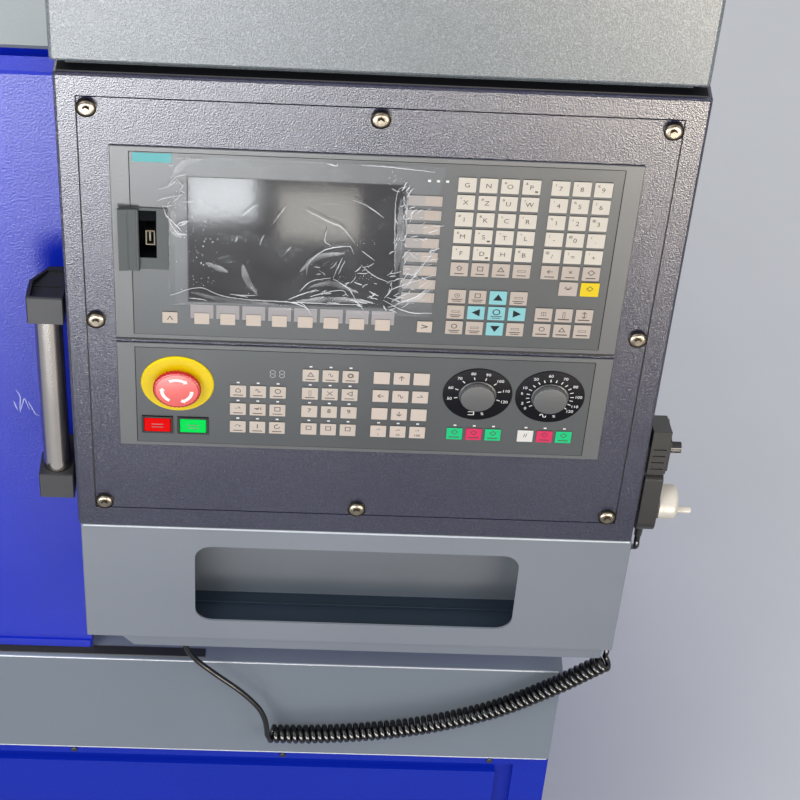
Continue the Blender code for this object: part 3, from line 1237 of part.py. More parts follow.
def build_carriage():
    """The carriage on the ways, the cross slide on it and the four-sided tool post."""
    pivot = Vector((CARRIAGE_X, BED_MIDDLE_Y, BED_TOP))
    saddle = place("carriage", mesh_from(extruded(
        saddle_outline(CARRIAGE_HALF_DEPTH, CARRIAGE_TOP, APRON_DROP), CARRIAGE_X,
        CARRIAGE_X + CARRIAGE_WIDTH, 'X'), "saddle"), CAST, pivot)
    middle = CARRIAGE_X + CARRIAGE_WIDTH / 2
    low = CARRIAGE_TOP + GAP
    high = low + CROSS_HEIGHT
    slide = place("cross_slide", mesh_from(
        box((middle - CROSS_WIDTH / 2, CROSS_FRONT, low), (middle + CROSS_WIDTH / 2, CROSS_BACK, high)),
        "slide"), CAST, (middle, POST_Y, low), saddle)
    soften(slide, 3 * MM)
    build_post(middle, high + GAP, slide)


def build_post(middle, low, slide):
    """The turning tool post with a tool slot on each side and one tool set to centre height."""
    half = POST_SIZE / 2
    post = place("tool_post", mesh_from(box((middle - half, POST_Y - half, low),
                                            (middle + half, POST_Y + half, POST_TOP)), "post"),
                 STEEL, (middle, POST_Y, low), slide)
    soften(post, 3 * MM)
    shank = TOOL_SHANK
    slot_low = SPINDLE_Z - 0.75 * shank
    slot_high = SPINDLE_Z + 0.5 * shank
    reach = half + 0.01
    inner = half - 1.2 * shank
    cuts = [box((middle - reach, POST_Y - reach, slot_low), (middle + reach, POST_Y - inner, slot_high)),
            box((middle - reach, POST_Y + inner, slot_low), (middle + reach, POST_Y + reach, slot_high))]
    trim(post, together(cuts))
    cuts = [box((middle - reach, POST_Y - reach, slot_low), (middle - inner, POST_Y + reach, slot_high)),
            box((middle + inner, POST_Y - reach, slot_low), (middle + reach, POST_Y + reach, slot_high))]
    trim(post, together(cuts))
    join(post, box((middle - half + 0.004, POST_Y + inner - 1 * MM, slot_low - 1 * MM),
                   (middle - half + 0.004 + shank, POST_Y + half + TOOL_REACH, slot_low + shank)))
    join(post, rod((middle, POST_Y, POST_TOP - 2 * MM), 0.014, 0.022, 'Z', 6))


def build_tailstock():
    """The tailstock casting on the ways and its quill with a live centre."""
    end = TAILSTOCK_X + TAILSTOCK_LENGTH
    pivot = Vector((TAILSTOCK_X, BED_MIDDLE_Y, SPINDLE_Z))
    foot_top = BED_TOP + 0.055
    body = place("tailstock", mesh_from(extruded(
        saddle_outline(BED_HALF_WIDTH + 0.012, foot_top, 0.03), TAILSTOCK_X, end, 'X'), "foot"), CAST, pivot)
    web = [(BED_MIDDLE_Y - 0.11, foot_top - 0.005), (BED_MIDDLE_Y + 0.11, foot_top - 0.005),
           (BED_MIDDLE_Y + 0.052, SPINDLE_Z), (BED_MIDDLE_Y - 0.052, SPINDLE_Z)]
    join(body, extruded(web, TAILSTOCK_X + 0.01, end - 0.01, 'X'))
    join(body, rod((TAILSTOCK_X - 0.001, BED_MIDDLE_Y, SPINDLE_Z), TAILSTOCK_LENGTH + 0.02,
                   TAILSTOCK_BARREL, 'X', 32))
    trim(body, rod((TAILSTOCK_X - 0.02, BED_MIDDLE_Y, SPINDLE_Z), 0.02 + QUILL_DEPTH + 0.02,
                   QUILL_RADIUS + RUNNING, 'X', 32))
    tip = QUILL_DEPTH + QUILL_PROUD
    quill = turned("tailstock_quill", [(0, tip + CENTRE_LENGTH), (0.016, tip), (QUILL_RADIUS - 2 * MM, tip),
                                       (QUILL_RADIUS, tip - 2 * MM), (QUILL_RADIUS, 0), (0, 0)],
                   STEEL, (TAILSTOCK_X + QUILL_DEPTH, BED_MIDDLE_Y, SPINDLE_Z), 'X', 32, body)
    quill.rotation_euler = (0, -math.pi / 2, 0)
    smooth(quill)


def build_cabinet():
    """The electrical cabinet on the back: an open box, its hinged door and turning latch."""
    front = BODY_BACK + GAP
    wall = CABINET_WALL
    body = place("electrical_cabinet", mesh_from(
        box((CABINET_LEFT, front, CABINET_BOTTOM), (CABINET_RIGHT, CABINET_BACK, CABINET_TOP)),
        "cabinet"), SHROUD_GREY)
    trim(body, box((CABINET_LEFT + wall, front + wall, CABINET_BOTTOM + wall),
                   (CABINET_RIGHT - wall, CABINET_BACK + 0.01, CABINET_TOP - wall)))
    door_front = CABINET_BACK + GAP
    door_back = door_front + CABINET_DOOR
    pivot = Vector((CABINET_RIGHT + CABINET_HINGE, door_back, CABINET_BOTTOM))
    door = place("cabinet_door", mesh_from(
        box((CABINET_LEFT, door_front, CABINET_BOTTOM), (CABINET_RIGHT, door_back, CABINET_TOP)),
        "cabinet_door"), SHROUD_GREY, pivot)
    soften(door, 2 * MM)
    slots = [box((CABINET_LEFT + 0.2, door_front + 0.006, CABINET_BOTTOM + 0.06 + 0.022 * row),
                 (CABINET_RIGHT - 0.2, door_back + 0.01, CABINET_BOTTOM + 0.07 + 0.022 * row))
             for row in range(6)]
    trim(door, together(slots))
    spot = Vector((CABINET_LEFT + 0.045, door_back + GAP, (CABINET_BOTTOM + CABINET_TOP) / 2))
    latch = place("cabinet_latch", mesh_from(rod(spot, 0.012, 0.016, 'Y', 20), "latch"), BLACK, spot, door)
    join(latch, box((spot.x - 0.009, spot.y + 0.008, spot.z - LATCH_LENGTH),
                    (spot.x + 0.009, LATCH_TIP, spot.z + 0.012)))


build_base()
build_pan()
build_bed()
build_headstock()
build_covers()
build_door()
build_console()
build_screen_unit()
build_control_unit()
build_shroud()
build_tray()
build_hand_unit()
build_cord()
build_spindle()
build_carriage()
build_tailstock()
build_cabinet()
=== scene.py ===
"""The looks of the turning lathe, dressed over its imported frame."""

import math
import random

import bmesh
import bpy
from mathutils import Matrix, Vector, noise


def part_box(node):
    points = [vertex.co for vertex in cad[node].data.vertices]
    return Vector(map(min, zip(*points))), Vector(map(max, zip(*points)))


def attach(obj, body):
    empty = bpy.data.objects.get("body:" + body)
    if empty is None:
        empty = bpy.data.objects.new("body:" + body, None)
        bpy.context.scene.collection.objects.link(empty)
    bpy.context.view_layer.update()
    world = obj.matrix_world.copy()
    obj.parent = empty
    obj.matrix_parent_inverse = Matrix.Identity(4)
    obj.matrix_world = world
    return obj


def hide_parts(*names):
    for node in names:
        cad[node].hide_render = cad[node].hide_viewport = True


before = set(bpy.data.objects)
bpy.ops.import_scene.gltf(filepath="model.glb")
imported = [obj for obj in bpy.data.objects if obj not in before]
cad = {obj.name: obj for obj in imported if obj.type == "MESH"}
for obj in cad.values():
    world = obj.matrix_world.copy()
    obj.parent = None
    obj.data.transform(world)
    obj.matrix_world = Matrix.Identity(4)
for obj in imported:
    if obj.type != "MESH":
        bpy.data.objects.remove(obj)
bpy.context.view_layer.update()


# Base cabinet: a welded box of folded sheet under the whole machine, with sunk front fields and
# screw feet. It is sprayed royal blue, with the fine orange peel of a wet coat.
def noise_map(finish, scale, detail):
    """A noise over the piece's own coordinates."""
    nodes = finish.node_tree.nodes
    cloud = nodes.new("ShaderNodeTexNoise")
    cloud.inputs["Scale"].default_value = scale
    cloud.inputs["Detail"].default_value = detail
    finish.node_tree.links.new(nodes["Texture Coordinate"].outputs["Object"], cloud.inputs["Vector"])
    return cloud.outputs["Fac"]


def remap(finish, source, *limits):
    """Spreads a source's values between the first two limits over the last two."""
    spread = finish.node_tree.nodes.new("ShaderNodeMapRange")
    for end, value in zip(("From Min", "From Max", "To Min", "To Max"), limits):
        spread.inputs[end].default_value = value
    finish.node_tree.links.new(source, spread.inputs["Value"])
    return spread.outputs["Result"]


def paint(name, colour, roughness, grain, height, drift=0.06, metallic=0.0, soften=0.05, gleam=0.5):
    """A sprayed or moulded finish: a colour that drifts a little, over a fine surface grain."""
    finish = bpy.data.materials.new(name)
    finish.use_nodes = True
    nodes, links = finish.node_tree.nodes, finish.node_tree.links
    shader = nodes["Principled BSDF"]
    shader.inputs["Metallic"].default_value = metallic
    shader.inputs["Specular IOR Level"].default_value = gleam
    nodes.new("ShaderNodeTexCoord")
    clouds = noise_map(finish, 6, 5)
    tint = nodes.new("ShaderNodeMix")
    tint.data_type = 'RGBA'
    tint.inputs[6].default_value = (*[c * (1 - drift) for c in colour], 1)
    tint.inputs[7].default_value = (*[min(1, c * (1 + drift)) for c in colour], 1)
    links.new(clouds, tint.inputs[0])
    links.new(tint.outputs[2], shader.inputs["Base Color"])
    gloss = remap(finish, clouds, 0, 1, roughness - soften, roughness + soften)
    links.new(gloss, shader.inputs["Roughness"])
    relief = nodes.new("ShaderNodeBump")
    relief.inputs["Strength"].default_value = 1
    relief.inputs["Distance"].default_value = height
    links.new(noise_map(finish, grain, 2), relief.inputs["Height"])
    links.new(relief.outputs["Normal"], shader.inputs["Normal"])
    return finish


def wear(finish, *names):
    """Gives solids of the machine their finish."""
    for name in names:
        for slot in cad[name].material_slots:
            slot.material = finish


def only(*pieces):
    """Leaves these pieces selected and the first of them active."""
    bpy.ops.object.select_all(action='DESELECT')
    for piece in pieces:
        piece.select_set(True)
    bpy.context.view_layer.objects.active = pieces[0]


def hang(name, data):
    """Puts an object with this data in the scene."""
    thing = bpy.data.objects.new(name, data)
    bpy.context.scene.collection.objects.link(thing)
    return thing


def from_shape(name, shape):
    """Makes an object of a shape that was drawn face by face."""
    mesh = bpy.data.meshes.new(name)
    shape.to_mesh(mesh)
    shape.free()
    return hang(name, mesh)


def pick(piece, kind, chosen):
    """Goes into edit mode with the points, edges or faces selected that a test chooses."""
    bpy.ops.object.mode_set(mode='EDIT')
    bpy.ops.mesh.select_mode(type=kind)
    bpy.ops.mesh.select_all(action='DESELECT')
    shape = bmesh.from_edit_mesh(piece.data)
    for part in {'VERT': shape.verts, 'EDGE': shape.edges, 'FACE': shape.faces}[kind]:
        part.select = chosen(part)
    if kind == 'EDGE':
        shape.select_flush_mode()
    bmesh.update_edit_mesh(piece.data)


def bevel(width, steps):
    """Rounds the selected edges and leaves edit mode."""
    bpy.ops.mesh.bevel(offset=width, segments=steps, affect='EDGES')
    bpy.ops.object.mode_set(mode='OBJECT')


def settle(name, pieces, finish, body="machine"):
    """Joins pieces into one, fixes its place in its mesh, and hangs it on a body."""
    only(*pieces)
    if len(pieces) > 1:
        bpy.ops.object.join()
    whole = bpy.context.view_layer.objects.active
    bpy.ops.object.transform_apply(location=True, rotation=True, scale=True)
    whole.name = name
    whole.data.name = name
    whole.data.materials.clear()
    whole.data.materials.append(finish)
    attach(whole, body)
    return whole


def block(low, high, edge=0.0, segments=2):
    """A box between two corners, its edges broken by a small round."""
    low, high = Vector(low), Vector(high)
    bpy.ops.mesh.primitive_cube_add(size=1, location=(low + high) / 2)
    piece = bpy.context.object
    piece.scale = high - low
    bpy.ops.object.transform_apply(location=False, rotation=False, scale=True)
    if edge:
        bpy.ops.object.mode_set(mode='EDIT')
        bpy.ops.mesh.select_all(action='SELECT')
        bevel(edge, segments)
    return piece


def disc(centre, radius, length, sides=48, turn=(math.pi / 2, 0, 0), edge=0.0, segments=2):
    """A round bar about its centre, facing the front unless it is turned, with broken rims."""
    bpy.ops.mesh.primitive_cylinder_add(vertices=sides, radius=radius, depth=length, location=centre,
                                        rotation=turn)
    piece = bpy.context.object
    if edge:
        pick(piece, 'EDGE', lambda rim: abs(rim.verts[0].co.z - rim.verts[1].co.z) < length / 2)
        bevel(edge, segments)
    return piece


def middle(node):
    """The middle of a solid's box."""
    low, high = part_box(node)
    return (Vector(low) + Vector(high)) / 2


def soft_shade(piece, angle=35):
    """Shades a piece smooth, apart from edges sharper than the angle in degrees."""
    only(piece)
    bpy.ops.object.shade_smooth_by_angle(angle=math.radians(angle))
    return piece


machine_blue = paint("machine_blue", (0.004, 0.023, 0.42), 0.30, 520, 0.00022, 0.10, gleam=0.15)
wear(machine_blue, "base_cabinet")
dark_screw = paint("blackened_screw", (0.03, 0.03, 0.035), 0.35, 900, 0.00005, metallic=0.8)
FLANGE_SCREWS = 11
FLANGE_INSET = 0.062
base_low, base_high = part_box("base_cabinet")
screw_pitch = (base_high[0] - base_low[0] - 2 * FLANGE_INSET) / (FLANGE_SCREWS - 1)
flange_screws = [disc((base_low[0] + FLANGE_INSET + step * screw_pitch, base_low[1] - 0.0006,
                       base_high[2] - 0.0070), 0.0034, 0.0022, 16, edge=0.0008)
                 for step in range(FLANGE_SCREWS)]
soft_shade(settle("base_flange_screws", flange_screws, dark_screw))


# Chip pan: a folded steel trough between base and covers, whose rim runs round the machine as a
# grey belt. A thin pale strip runs along its joint to the base.
belt_grey = paint("belt_grey", (0.205, 0.235, 0.272), 0.34, 300, 0.00010, 0.07)
wear(belt_grey, "chip_pan")
pale_strip_paint = paint("joint_pale_strip", (0.80, 0.81, 0.82), 0.5, 500, 0.0002)
pan_low, pan_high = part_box("chip_pan")


def strip(low, high, inset, front, back, bottom, top, edge=0.0):
    """A bar along the front of a box, between two depths and two heights."""
    return block((low[0] + inset, low[1] + front, bottom), (high[0] - inset, low[1] + back, top), edge)


settle("belt_pale_strip", [strip(pan_low, pan_high, 0.002, 0.0006, 0.0030, pan_low[2] - 0.0026,
                              pan_low[2] + 0.0004, 0.0006)], pale_strip_paint)
# Painted highlight: a pale strip along the belt's top front edge, where its rounded fold catches the light.
rim_highlight = strip(pan_low, pan_high, 0.004, 0.0002, 0.0018, pan_high[2] - 0.0019, pan_high[2] - 0.0003, 0.0006)
settle("belt_rim_highlight", [rim_highlight], paint("rim_highlight_grey", (0.60, 0.63, 0.66), 0.4, 500, 0.0002, 0.2))


# Console: a folded box on an arm at the front right, with a screwed-on plate that carries the
# units. Both are sprayed in a dark slate hammer finish. Its dimples are a bump, and painted glints
# make the colour lighter towards their rims.
def hammered(name, colour, scale, height, roughness, gleam, painted_glint):
    """A hammer finish: round dimples as a bump, with painted glints that lighten the colour towards their
    rims.
    """
    finish = paint(name, colour, roughness, scale, height, 0.05, gleam=gleam)
    nodes, links = finish.node_tree.nodes, finish.node_tree.links
    dimples = nodes.new("ShaderNodeTexVoronoi")
    dimples.feature = 'SMOOTH_F1'
    dimples.inputs["Scale"].default_value = scale * 0.9
    links.new(nodes["Texture Coordinate"].outputs["Object"], dimples.inputs["Vector"])
    depth = dimples.outputs["Distance"]
    both = nodes.new("ShaderNodeMath")
    both.operation = 'MULTIPLY_ADD'
    both.inputs[1].default_value = 0.7
    links.new(depth, both.inputs[0])
    links.new(nodes["Noise Texture.001"].outputs["Fac"], both.inputs[2])
    links.new(both.outputs[0], nodes["Bump"].inputs["Height"])
    # Painted glints: the colour is scaled down in each dimple's middle and up towards its rim.
    glint_tint = nodes.new("ShaderNodeVectorMath")
    glint_tint.operation = 'SCALE'
    links.new(nodes["Mix"].outputs[2], glint_tint.inputs[0])
    links.new(remap(finish, depth, 0.15, 0.75, 1 - painted_glint, 1 + painted_glint), glint_tint.inputs["Scale"])
    links.new(glint_tint.outputs["Vector"], nodes["Principled BSDF"].inputs["Base Color"])
    return finish


console_slate = hammered("console_slate", (0.023, 0.024, 0.054), 900, 0.00020, 0.23, 0.5, 0.5)
wear(console_slate, "console_housing", "console_plate")
plate_low, plate_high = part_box("console_plate")
unit_corner = Vector((plate_low[0] + 0.0235, plate_low[1], plate_high[2] - 0.0444))


def on_console(x, depth, z):
    """The place of a point given in millimetres from the screen unit's top left corner."""
    return unit_corner + Vector((x, depth, z)) / 1000


def slab(low, high, edge=0.0):
    """A box between two corners given in the console's millimetres."""
    return block(on_console(*low), on_console(*high), edge)


def rim_bars(left, low, right, high, width):
    """Four flat bars inside a rectangle's edge: the two upright ones run its full height."""
    return [(left, low, left + width, high), (right - width, low, right, high),
            (left, low, right, low + width), (left, high - width, right, high)]


def slabs(front, back, spots, edge=0.0):
    """Flat bars between two depths, each from its two corners: x, z, x, z."""
    return [slab((a, front, b), (c, back, d), edge) for a, b, c, d in spots]


# Painted shade: black bars in the groove round the plate, in the gap under the shroud's neck and in the gap
# under the screen unit, where shadow falls.
painted_shade_black = paint("painted_shade_black", (0.004, 0.004, 0.006), 0.6, 600, 0.0001, gleam=0.15)
GROOVE = 0.0012
groove_front, groove_back = plate_low[1] + GROOVE, plate_low[1] + 0.0026
groove_shade_bars = []
for x, z in ((plate_low[0] - GROOVE, plate_low[2] - GROOVE), (plate_high[0], plate_high[2])):
    groove_shade_bars.append(block((x, groove_front, plate_low[2] - GROOVE),
                        (x + GROOVE, groove_back, plate_high[2] + GROOVE)))
    groove_shade_bars.append(block((plate_low[0], groove_front, z), (plate_high[0], groove_back, z + GROOVE)))
settle("plate_groove_shade", groove_shade_bars, painted_shade_black)
housing_low, housing_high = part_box("console_housing")
# Painted shadow: a black strip on the console's top, in the gap under the shroud's neck.
neck_gap_shade = block((housing_low[0] + 0.003, plate_low[1] + 0.0022, housing_high[2] - 0.0004),
                   (housing_high[0] - 0.004, plate_low[1] + 0.0130, housing_high[2] + 0.0012))
settle("neck_gap_shade", [neck_gap_shade], painted_shade_black)
# Painted shadow: a black strip under the screen unit's lower edge.
settle("unit_gap_shade", [slab((0.3, -0.5, -203.4), (419.7, -0.02, -200.8))], painted_shade_black)


# Console screws: eight button head socket screws, nickel plated with a warm tarnish, which clamp
# the plate to the box. The domed head is turned and its hexagon socket is broached.
def turned_metal(name, colour, roughness, scale=(40, 40, 900), height=0.00003, drift=0.12):
    """A machined metal with fine tool marks, along Z unless the scale says otherwise."""
    finish = paint(name, colour, roughness, 60, height, drift, metallic=1.0)
    nodes, links = finish.node_tree.nodes, finish.node_tree.links
    stretch = nodes.new("ShaderNodeMapping")
    stretch.inputs["Scale"].default_value = scale
    links.new(nodes["Texture Coordinate"].outputs["Object"], stretch.inputs["Vector"])
    marks = nodes["Noise Texture.001"]
    marks.inputs["Scale"].default_value = 1
    links.new(stretch.outputs["Vector"], marks.inputs["Vector"])
    return finish


screw_nickel = turned_metal("screw_nickel", (0.115, 0.100, 0.080), 0.30, (500, 500, 500), 0.00010, 0.4)


def button_head(name):
    """A domed head with a hexagon socket, on its shank."""
    head_height, shank_length = 0.0044, 0.0084
    low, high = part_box(name)
    face = middle(name)
    face.y = low[1]
    inward = Vector((0, 1, 0))
    head = disc(face + inward * head_height / 2, (high[0] - low[0]) / 2, head_height, 48,
                edge=0.0036, segments=7)
    shank = disc(face + inward * (head_height + shank_length / 2), 0.0034, shank_length, 24)
    key_hole = disc(face, 0.0031, 0.0050, 6)
    cut = head.modifiers.new("socket", 'BOOLEAN')
    cut.operation = 'DIFFERENCE'
    cut.object = key_hole
    only(head)
    bpy.ops.object.modifier_apply(modifier="socket")
    bpy.data.objects.remove(key_hole, do_unlink=True)
    screw = settle(name + "_head", [head, shank], screw_nickel)
    soft_shade(screw, 30)
    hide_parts(name)


for index in range(1, 9):
    button_head("console_screw_%d" % index)


# Screen unit: a cast frame with a grey membrane film over it, a sunk display and rows of pads.
# The film stops short of the frame's edges, which show as a paler border.
frame_grey = paint("unit_frame_grey", (0.095, 0.098, 0.100), 0.34, 700, 0.00010, 0.06, gleam=0.38)
film_grey = paint("membrane_grey", (0.050, 0.056, 0.060), 0.30, 900, 0.00003, 0.06, gleam=0.43)
wear(frame_grey, "screen_unit", "control_unit")
FACE = -1.5


def membrane(name, top, bottom, holes):
    """A unit's film: a thin sheet on its face, with rectangular windows cut in it."""
    width, centre_x, proud = 389.7, 210.2, 0.12
    bpy.ops.mesh.primitive_plane_add(size=1, rotation=(math.pi / 2, 0, 0),
                                     location=on_console(centre_x, FACE - proud, (top + bottom) / 2))
    sheet = bpy.context.object
    sheet.scale = (width / 1000, (top - bottom) / 1000, 1)
    bpy.ops.object.transform_apply(location=True, rotation=True, scale=True)
    bpy.ops.object.mode_set(mode='EDIT')
    for left, right, low, high in holes:
        a, b = on_console(left, 0, low), on_console(right, 0, high)
        for corner, way in ((a, (1, 0, 0)), (b, (1, 0, 0)), (a, (0, 0, 1)), (b, (0, 0, 1))):
            bpy.ops.mesh.select_all(action='SELECT')
            bpy.ops.mesh.bisect(plane_co=corner, plane_no=way)

        def inside(face):
            """Whether a face lies in the window."""
            spot = face.calc_center_median()
            return a.x < spot.x < b.x and a.z < spot.z < b.z

        pick(sheet, 'FACE', inside)
        bpy.ops.mesh.delete(type='FACE')
    bpy.ops.object.mode_set(mode='OBJECT')
    wall = sheet.modifiers.new("thickness", 'SOLIDIFY')
    wall.thickness = 0.0002
    wall.offset = 0
    bpy.ops.object.modifier_apply(modifier="thickness")
    return settle(name, [sheet], film_grey)


membrane("screen_unit_film", -4.8, -195.8, [(60.1, 233.6, -158.2, -27.1), (12.8, 45.2, -123.7, -59.8)])
trim_dark = paint("film_edge_dark", (0.010, 0.011, 0.012), 0.6, 900, 0.00003, gleam=0.05)


def film_edge(name, top, bottom):
    """The dark line where a film meets its frame."""
    left, right = 15.3, 405.1
    lines = slabs(FACE - 0.26, FACE, [(x - 0.35, bottom, x + 0.35, top) for x in (left, right)])
    lines += slabs(FACE - 0.24, FACE, [(left, z - 0.2, right, z + 0.2) for z in (top, bottom)])
    settle(name, lines, trim_dark)


film_edge("screen_unit_film_edge", -4.8, -195.8)
display_dark = paint("display_dark", (0.016, 0.013, 0.013), 0.06, 200, 0.00001, 0.1, soften=0.01, gleam=0.32)
wear(display_dark, "screen_glass")
bezel_black = paint("display_gasket", (0.010, 0.010, 0.011), 0.55, 800, 0.00006, gleam=0.2)
gasket = slabs(FACE + 0.2, FACE + 1.2, rim_bars(60.1, -158.2, 233.6, -27.1, 1.1))
settle("display_gasket", gasket, bezel_black)


# Name plate: a thin plastic plate in teal, glued on the film at the unit's top left corner. It is
# left bare.
plate_teal = paint("bare_plate_teal", (0.07, 0.40, 0.41), 0.35, 700, 0.00002, 0.04, gleam=0.15)
settle("bare_plate", [slab((17.8, FACE - 0.45, -14.6), (48.9, FACE - 0.1, -5.6), 0.0002)], plate_teal)


# Key caps: pads printed cream, beige or a signal colour under the film, each raised by a press so
# that a finger feels its edge. One pad of each size is shaped and copied into its block.
PAD_TOP = FACE - 1.25
PAD_DEPTH = 0.35


def pad_shape(width, height):
    """One pad, its corners rounded and its rim broken, centred on the origin."""
    reach = Vector((width, PAD_DEPTH, height)) / 2000
    pad = block(-reach, reach)
    pick(pad, 'EDGE', lambda rim: abs((rim.verts[0].co - rim.verts[1].co).y) > 0.0001)
    bevel(0.0006, 3)
    pick(pad, 'FACE', lambda face: face.normal.y < -0.9)
    bevel(0.00018, 2)
    return pad


pad_shapes = {}


def pad(x, z, size):
    """A copy of the pad of that size, from its top left corner in millimetres."""
    if size not in pad_shapes:
        pad_shapes[size] = pad_shape(size[0] + 0.3, size[1] + 0.3)
        pad_shapes[size].hide_render = True
    copy = hang("pad", pad_shapes[size].data.copy())
    copy.location = on_console(x + size[0] / 2, PAD_TOP + PAD_DEPTH / 2, z - size[1] / 2)
    return copy


def grid(x, z, columns, rows, size, pitch, skip=()):
    """Rows of pads from the first one's top left corner, without the columns and rows to skip."""
    return [pad(x + c * pitch[0], z - r * pitch[1], size)
            for r in range(rows) for c in range(columns) if (c, r) not in skip]


def pad_finish(name, colour):
    """A pad's colour, printed under the matt film."""
    return paint(name, colour, 0.40, 700, 0.00004, 0.04, gleam=0.08)


cream = pad_finish("pad_cream", (0.72, 0.65, 0.55))
beige = pad_finish("pad_beige", (0.56, 0.47, 0.40))
cyan = pad_finish("pad_cyan", (0.27, 0.60, 0.62))
yellow = pad_finish("pad_yellow", (0.88, 0.62, 0.004))
KEY = (14.0, 14.0)
STEP = (17.0, 17.45)
CURSOR_STEP = (17.0, 17.2)
INPUT = (15.0, 14.2)
LETTER_X = 274.4
NUMBER_X = 348.5
KEY_TOP = -17.35
cream_pads = grid(LETTER_X, KEY_TOP, 4, 5, KEY, STEP) + grid(NUMBER_X, KEY_TOP, 3, 5, KEY, STEP)
beige_pads = grid(LETTER_X, -104.6, 4, 1, KEY, STEP) + grid(NUMBER_X, -104.6, 3, 1, KEY, STEP)
beige_pads += grid(364.9, -121.5, 1, 1, INPUT, STEP)
ARROW_KEYS = ((2, 0), (1, 1), (3, 1), (2, 2))
CURSOR_KEYS = ARROW_KEYS + ((2, 1),)
beige_pads += grid(274.7, -134, 4, 3, KEY, CURSOR_STEP, CURSOR_KEYS)
beige_pads += grid(348, -150.8, 3, 2, KEY, CURSOR_STEP)
settle("letter_and_number_pads", cream_pads, cream)
settle("function_pads", beige_pads, beige)
settle("cursor_pads", grid(274.7, -134, 4, 3, KEY, CURSOR_STEP,
                           [(c, r) for r in range(3) for c in range(4) if (c, r) not in CURSOR_KEYS]), cyan)
settle("input_pad", grid(382.8, -121.5, 1, 1, INPUT, STEP), yellow)
SOFT = (12.2, 11.6)
SOFT_PITCH = 21.4625
SIDE_PITCH = 14.5375
soft_pads = grid(65.63, -169.9, 8, 1, SOFT, (SOFT_PITCH, 0))
soft_pads += grid(39.2, -169.9, 1, 1, SOFT, STEP) + grid(251, -170.1, 1, 1, SOFT, STEP)
settle("soft_key_pads", soft_pads, pad_finish("pad_soft_key", (0.64, 0.54, 0.455)))
side_pads = grid(235.8, -37.1, 1, 8, (27, 9.8), (0, SIDE_PITCH))
settle("side_key_pads", side_pads, pad_finish("pad_side_key", (0.44, 0.40, 0.37)))
wells = slabs(FACE - 0.3, FACE - 0.1, [(62.3 + i * SOFT_PITCH, -176, 81.2 + i * SOFT_PITCH, -161)
                                       for i in range(8)])
settle("soft_key_wells", wells, pad_finish("pad_well_grey", (0.40, 0.37, 0.37)))
tips = slabs(PAD_TOP - 0.06, PAD_TOP, [(249.4, -46.7 - i * SIDE_PITCH, 262.7, -37.3 - i * SIDE_PITCH)
                                       for i in range(8)])
settle("side_key_tips", tips, pad_finish("pad_side_tip", (0.54, 0.45, 0.38)))


# Pad print: plain letters, numbers and signs, screen printed in dark brown on the pads. A small
# key's second sign stands in its corner, and bars stand where it has words.
def stamp(text, x, z, size, depth=PAD_TOP - 0.05, wide=1.0, bold=0.010):
    """Printed characters, centred on a point of the console."""
    bpy.ops.object.text_add(location=on_console(x, depth, z), rotation=(math.pi / 2, 0, 0))
    words = bpy.context.object.data
    words.body = text
    words.size = size / 1000
    words.align_x = words.align_y = 'CENTER'
    words.resolution_u = 3
    words.offset = bold * size / 1000
    bpy.ops.object.convert(target='MESH')
    bpy.context.object.scale.x = wide
    return bpy.context.object


def rule(x, z, width, height, depth=PAD_TOP - 0.05):
    """A short printed bar, as a thin plate."""
    return slab((x - width / 2, depth, z - height / 2), (x + width / 2, depth + 0.04, z + height / 2))


def stamp_block(rows, x, z, size, pitch, height, bold=0.010):
    """One sign for each pad of a block, from the block's top left corner."""
    return [stamp(sign, x + c * pitch[0] + size[0] / 2, z - r * pitch[1] - size[1] / 2, height, bold=bold)
            for r, row in enumerate(rows) for c, sign in enumerate(row)]


ink = paint("pad_print_brown", (0.080, 0.060, 0.048), 0.6, 900, 0.00002, gleam=0.05)
marks = stamp_block(["GNOP", "XZUW", "IKCR", "MSTL", "FDHB"], LETTER_X, -17.6, KEY, STEP, 6.4, 0.0)
marks += stamp_block(["789", "456", "123", "-0.", "/=+"], NUMBER_X, -17.6, KEY, STEP, 6.4, 0.0)
marks += stamp_block(["⇧□△▭"], LETTER_X, -103.6, KEY, STEP, 6.6)
marks += stamp_block(["←×◇"], NUMBER_X, -103.6, KEY, STEP, 6.6)
marks += [stamp("^*#&+"[(r + c) % 5], LETTER_X + 3.1 + c * STEP[0], KEY_TOP - 3.3 - r * STEP[1], 3.2)
          for r in range(5) for c in range(4) if (r, c) not in ((0, 0), (0, 1), (4, 2))]
marks += [stamp("(!%)@"[(r + c) % 5], NUMBER_X + 3.1 + c * STEP[0], KEY_TOP - 3.3 - r * STEP[1], 3.2)
          for r in range(5) for c in range(3)]
marks += [rule(LETTER_X + 11.2 + c * STEP[0], KEY_TOP - 11.2 - r * STEP[1], 2.4, 1.6)
          for r, c in ((0, 3), (3, 1), (4, 1))]
marks += stamp_block(["⊙□", "▭", "○▭"], 274.7, -132.6, KEY, CURSOR_STEP, 6.6)
marks += stamp_block(["↔◇"], 364.9, -120.6, INPUT, (17.9, 0), 6)
marks += stamp_block(["◫▯↕", "○△▭"], 348, -149.6, KEY, CURSOR_STEP, 6.6)
marks += [stamp("▭", 332.7, -139.6, 6.6), stamp("▭", 332.7, -174, 6.6)]
for r in range(3):
    for c in range(4):
        if (c, r) not in ARROW_KEYS:
            marks += [rule(281.7 + c * CURSOR_STEP[0], z - r * CURSOR_STEP[1], width, 0.8)
                      for z, width in ((-143.9, 9.4), (-145.8, 7))]
marks += [rule(355 + c * CURSOR_STEP[0], -161.9 - r * CURSOR_STEP[1], 9.6, 1.1)
          for r in range(2) for c in range(3)]
marks += [rule(281.4 + c * STEP[0], -116, 7.5, 0.9) for c in range(4)]
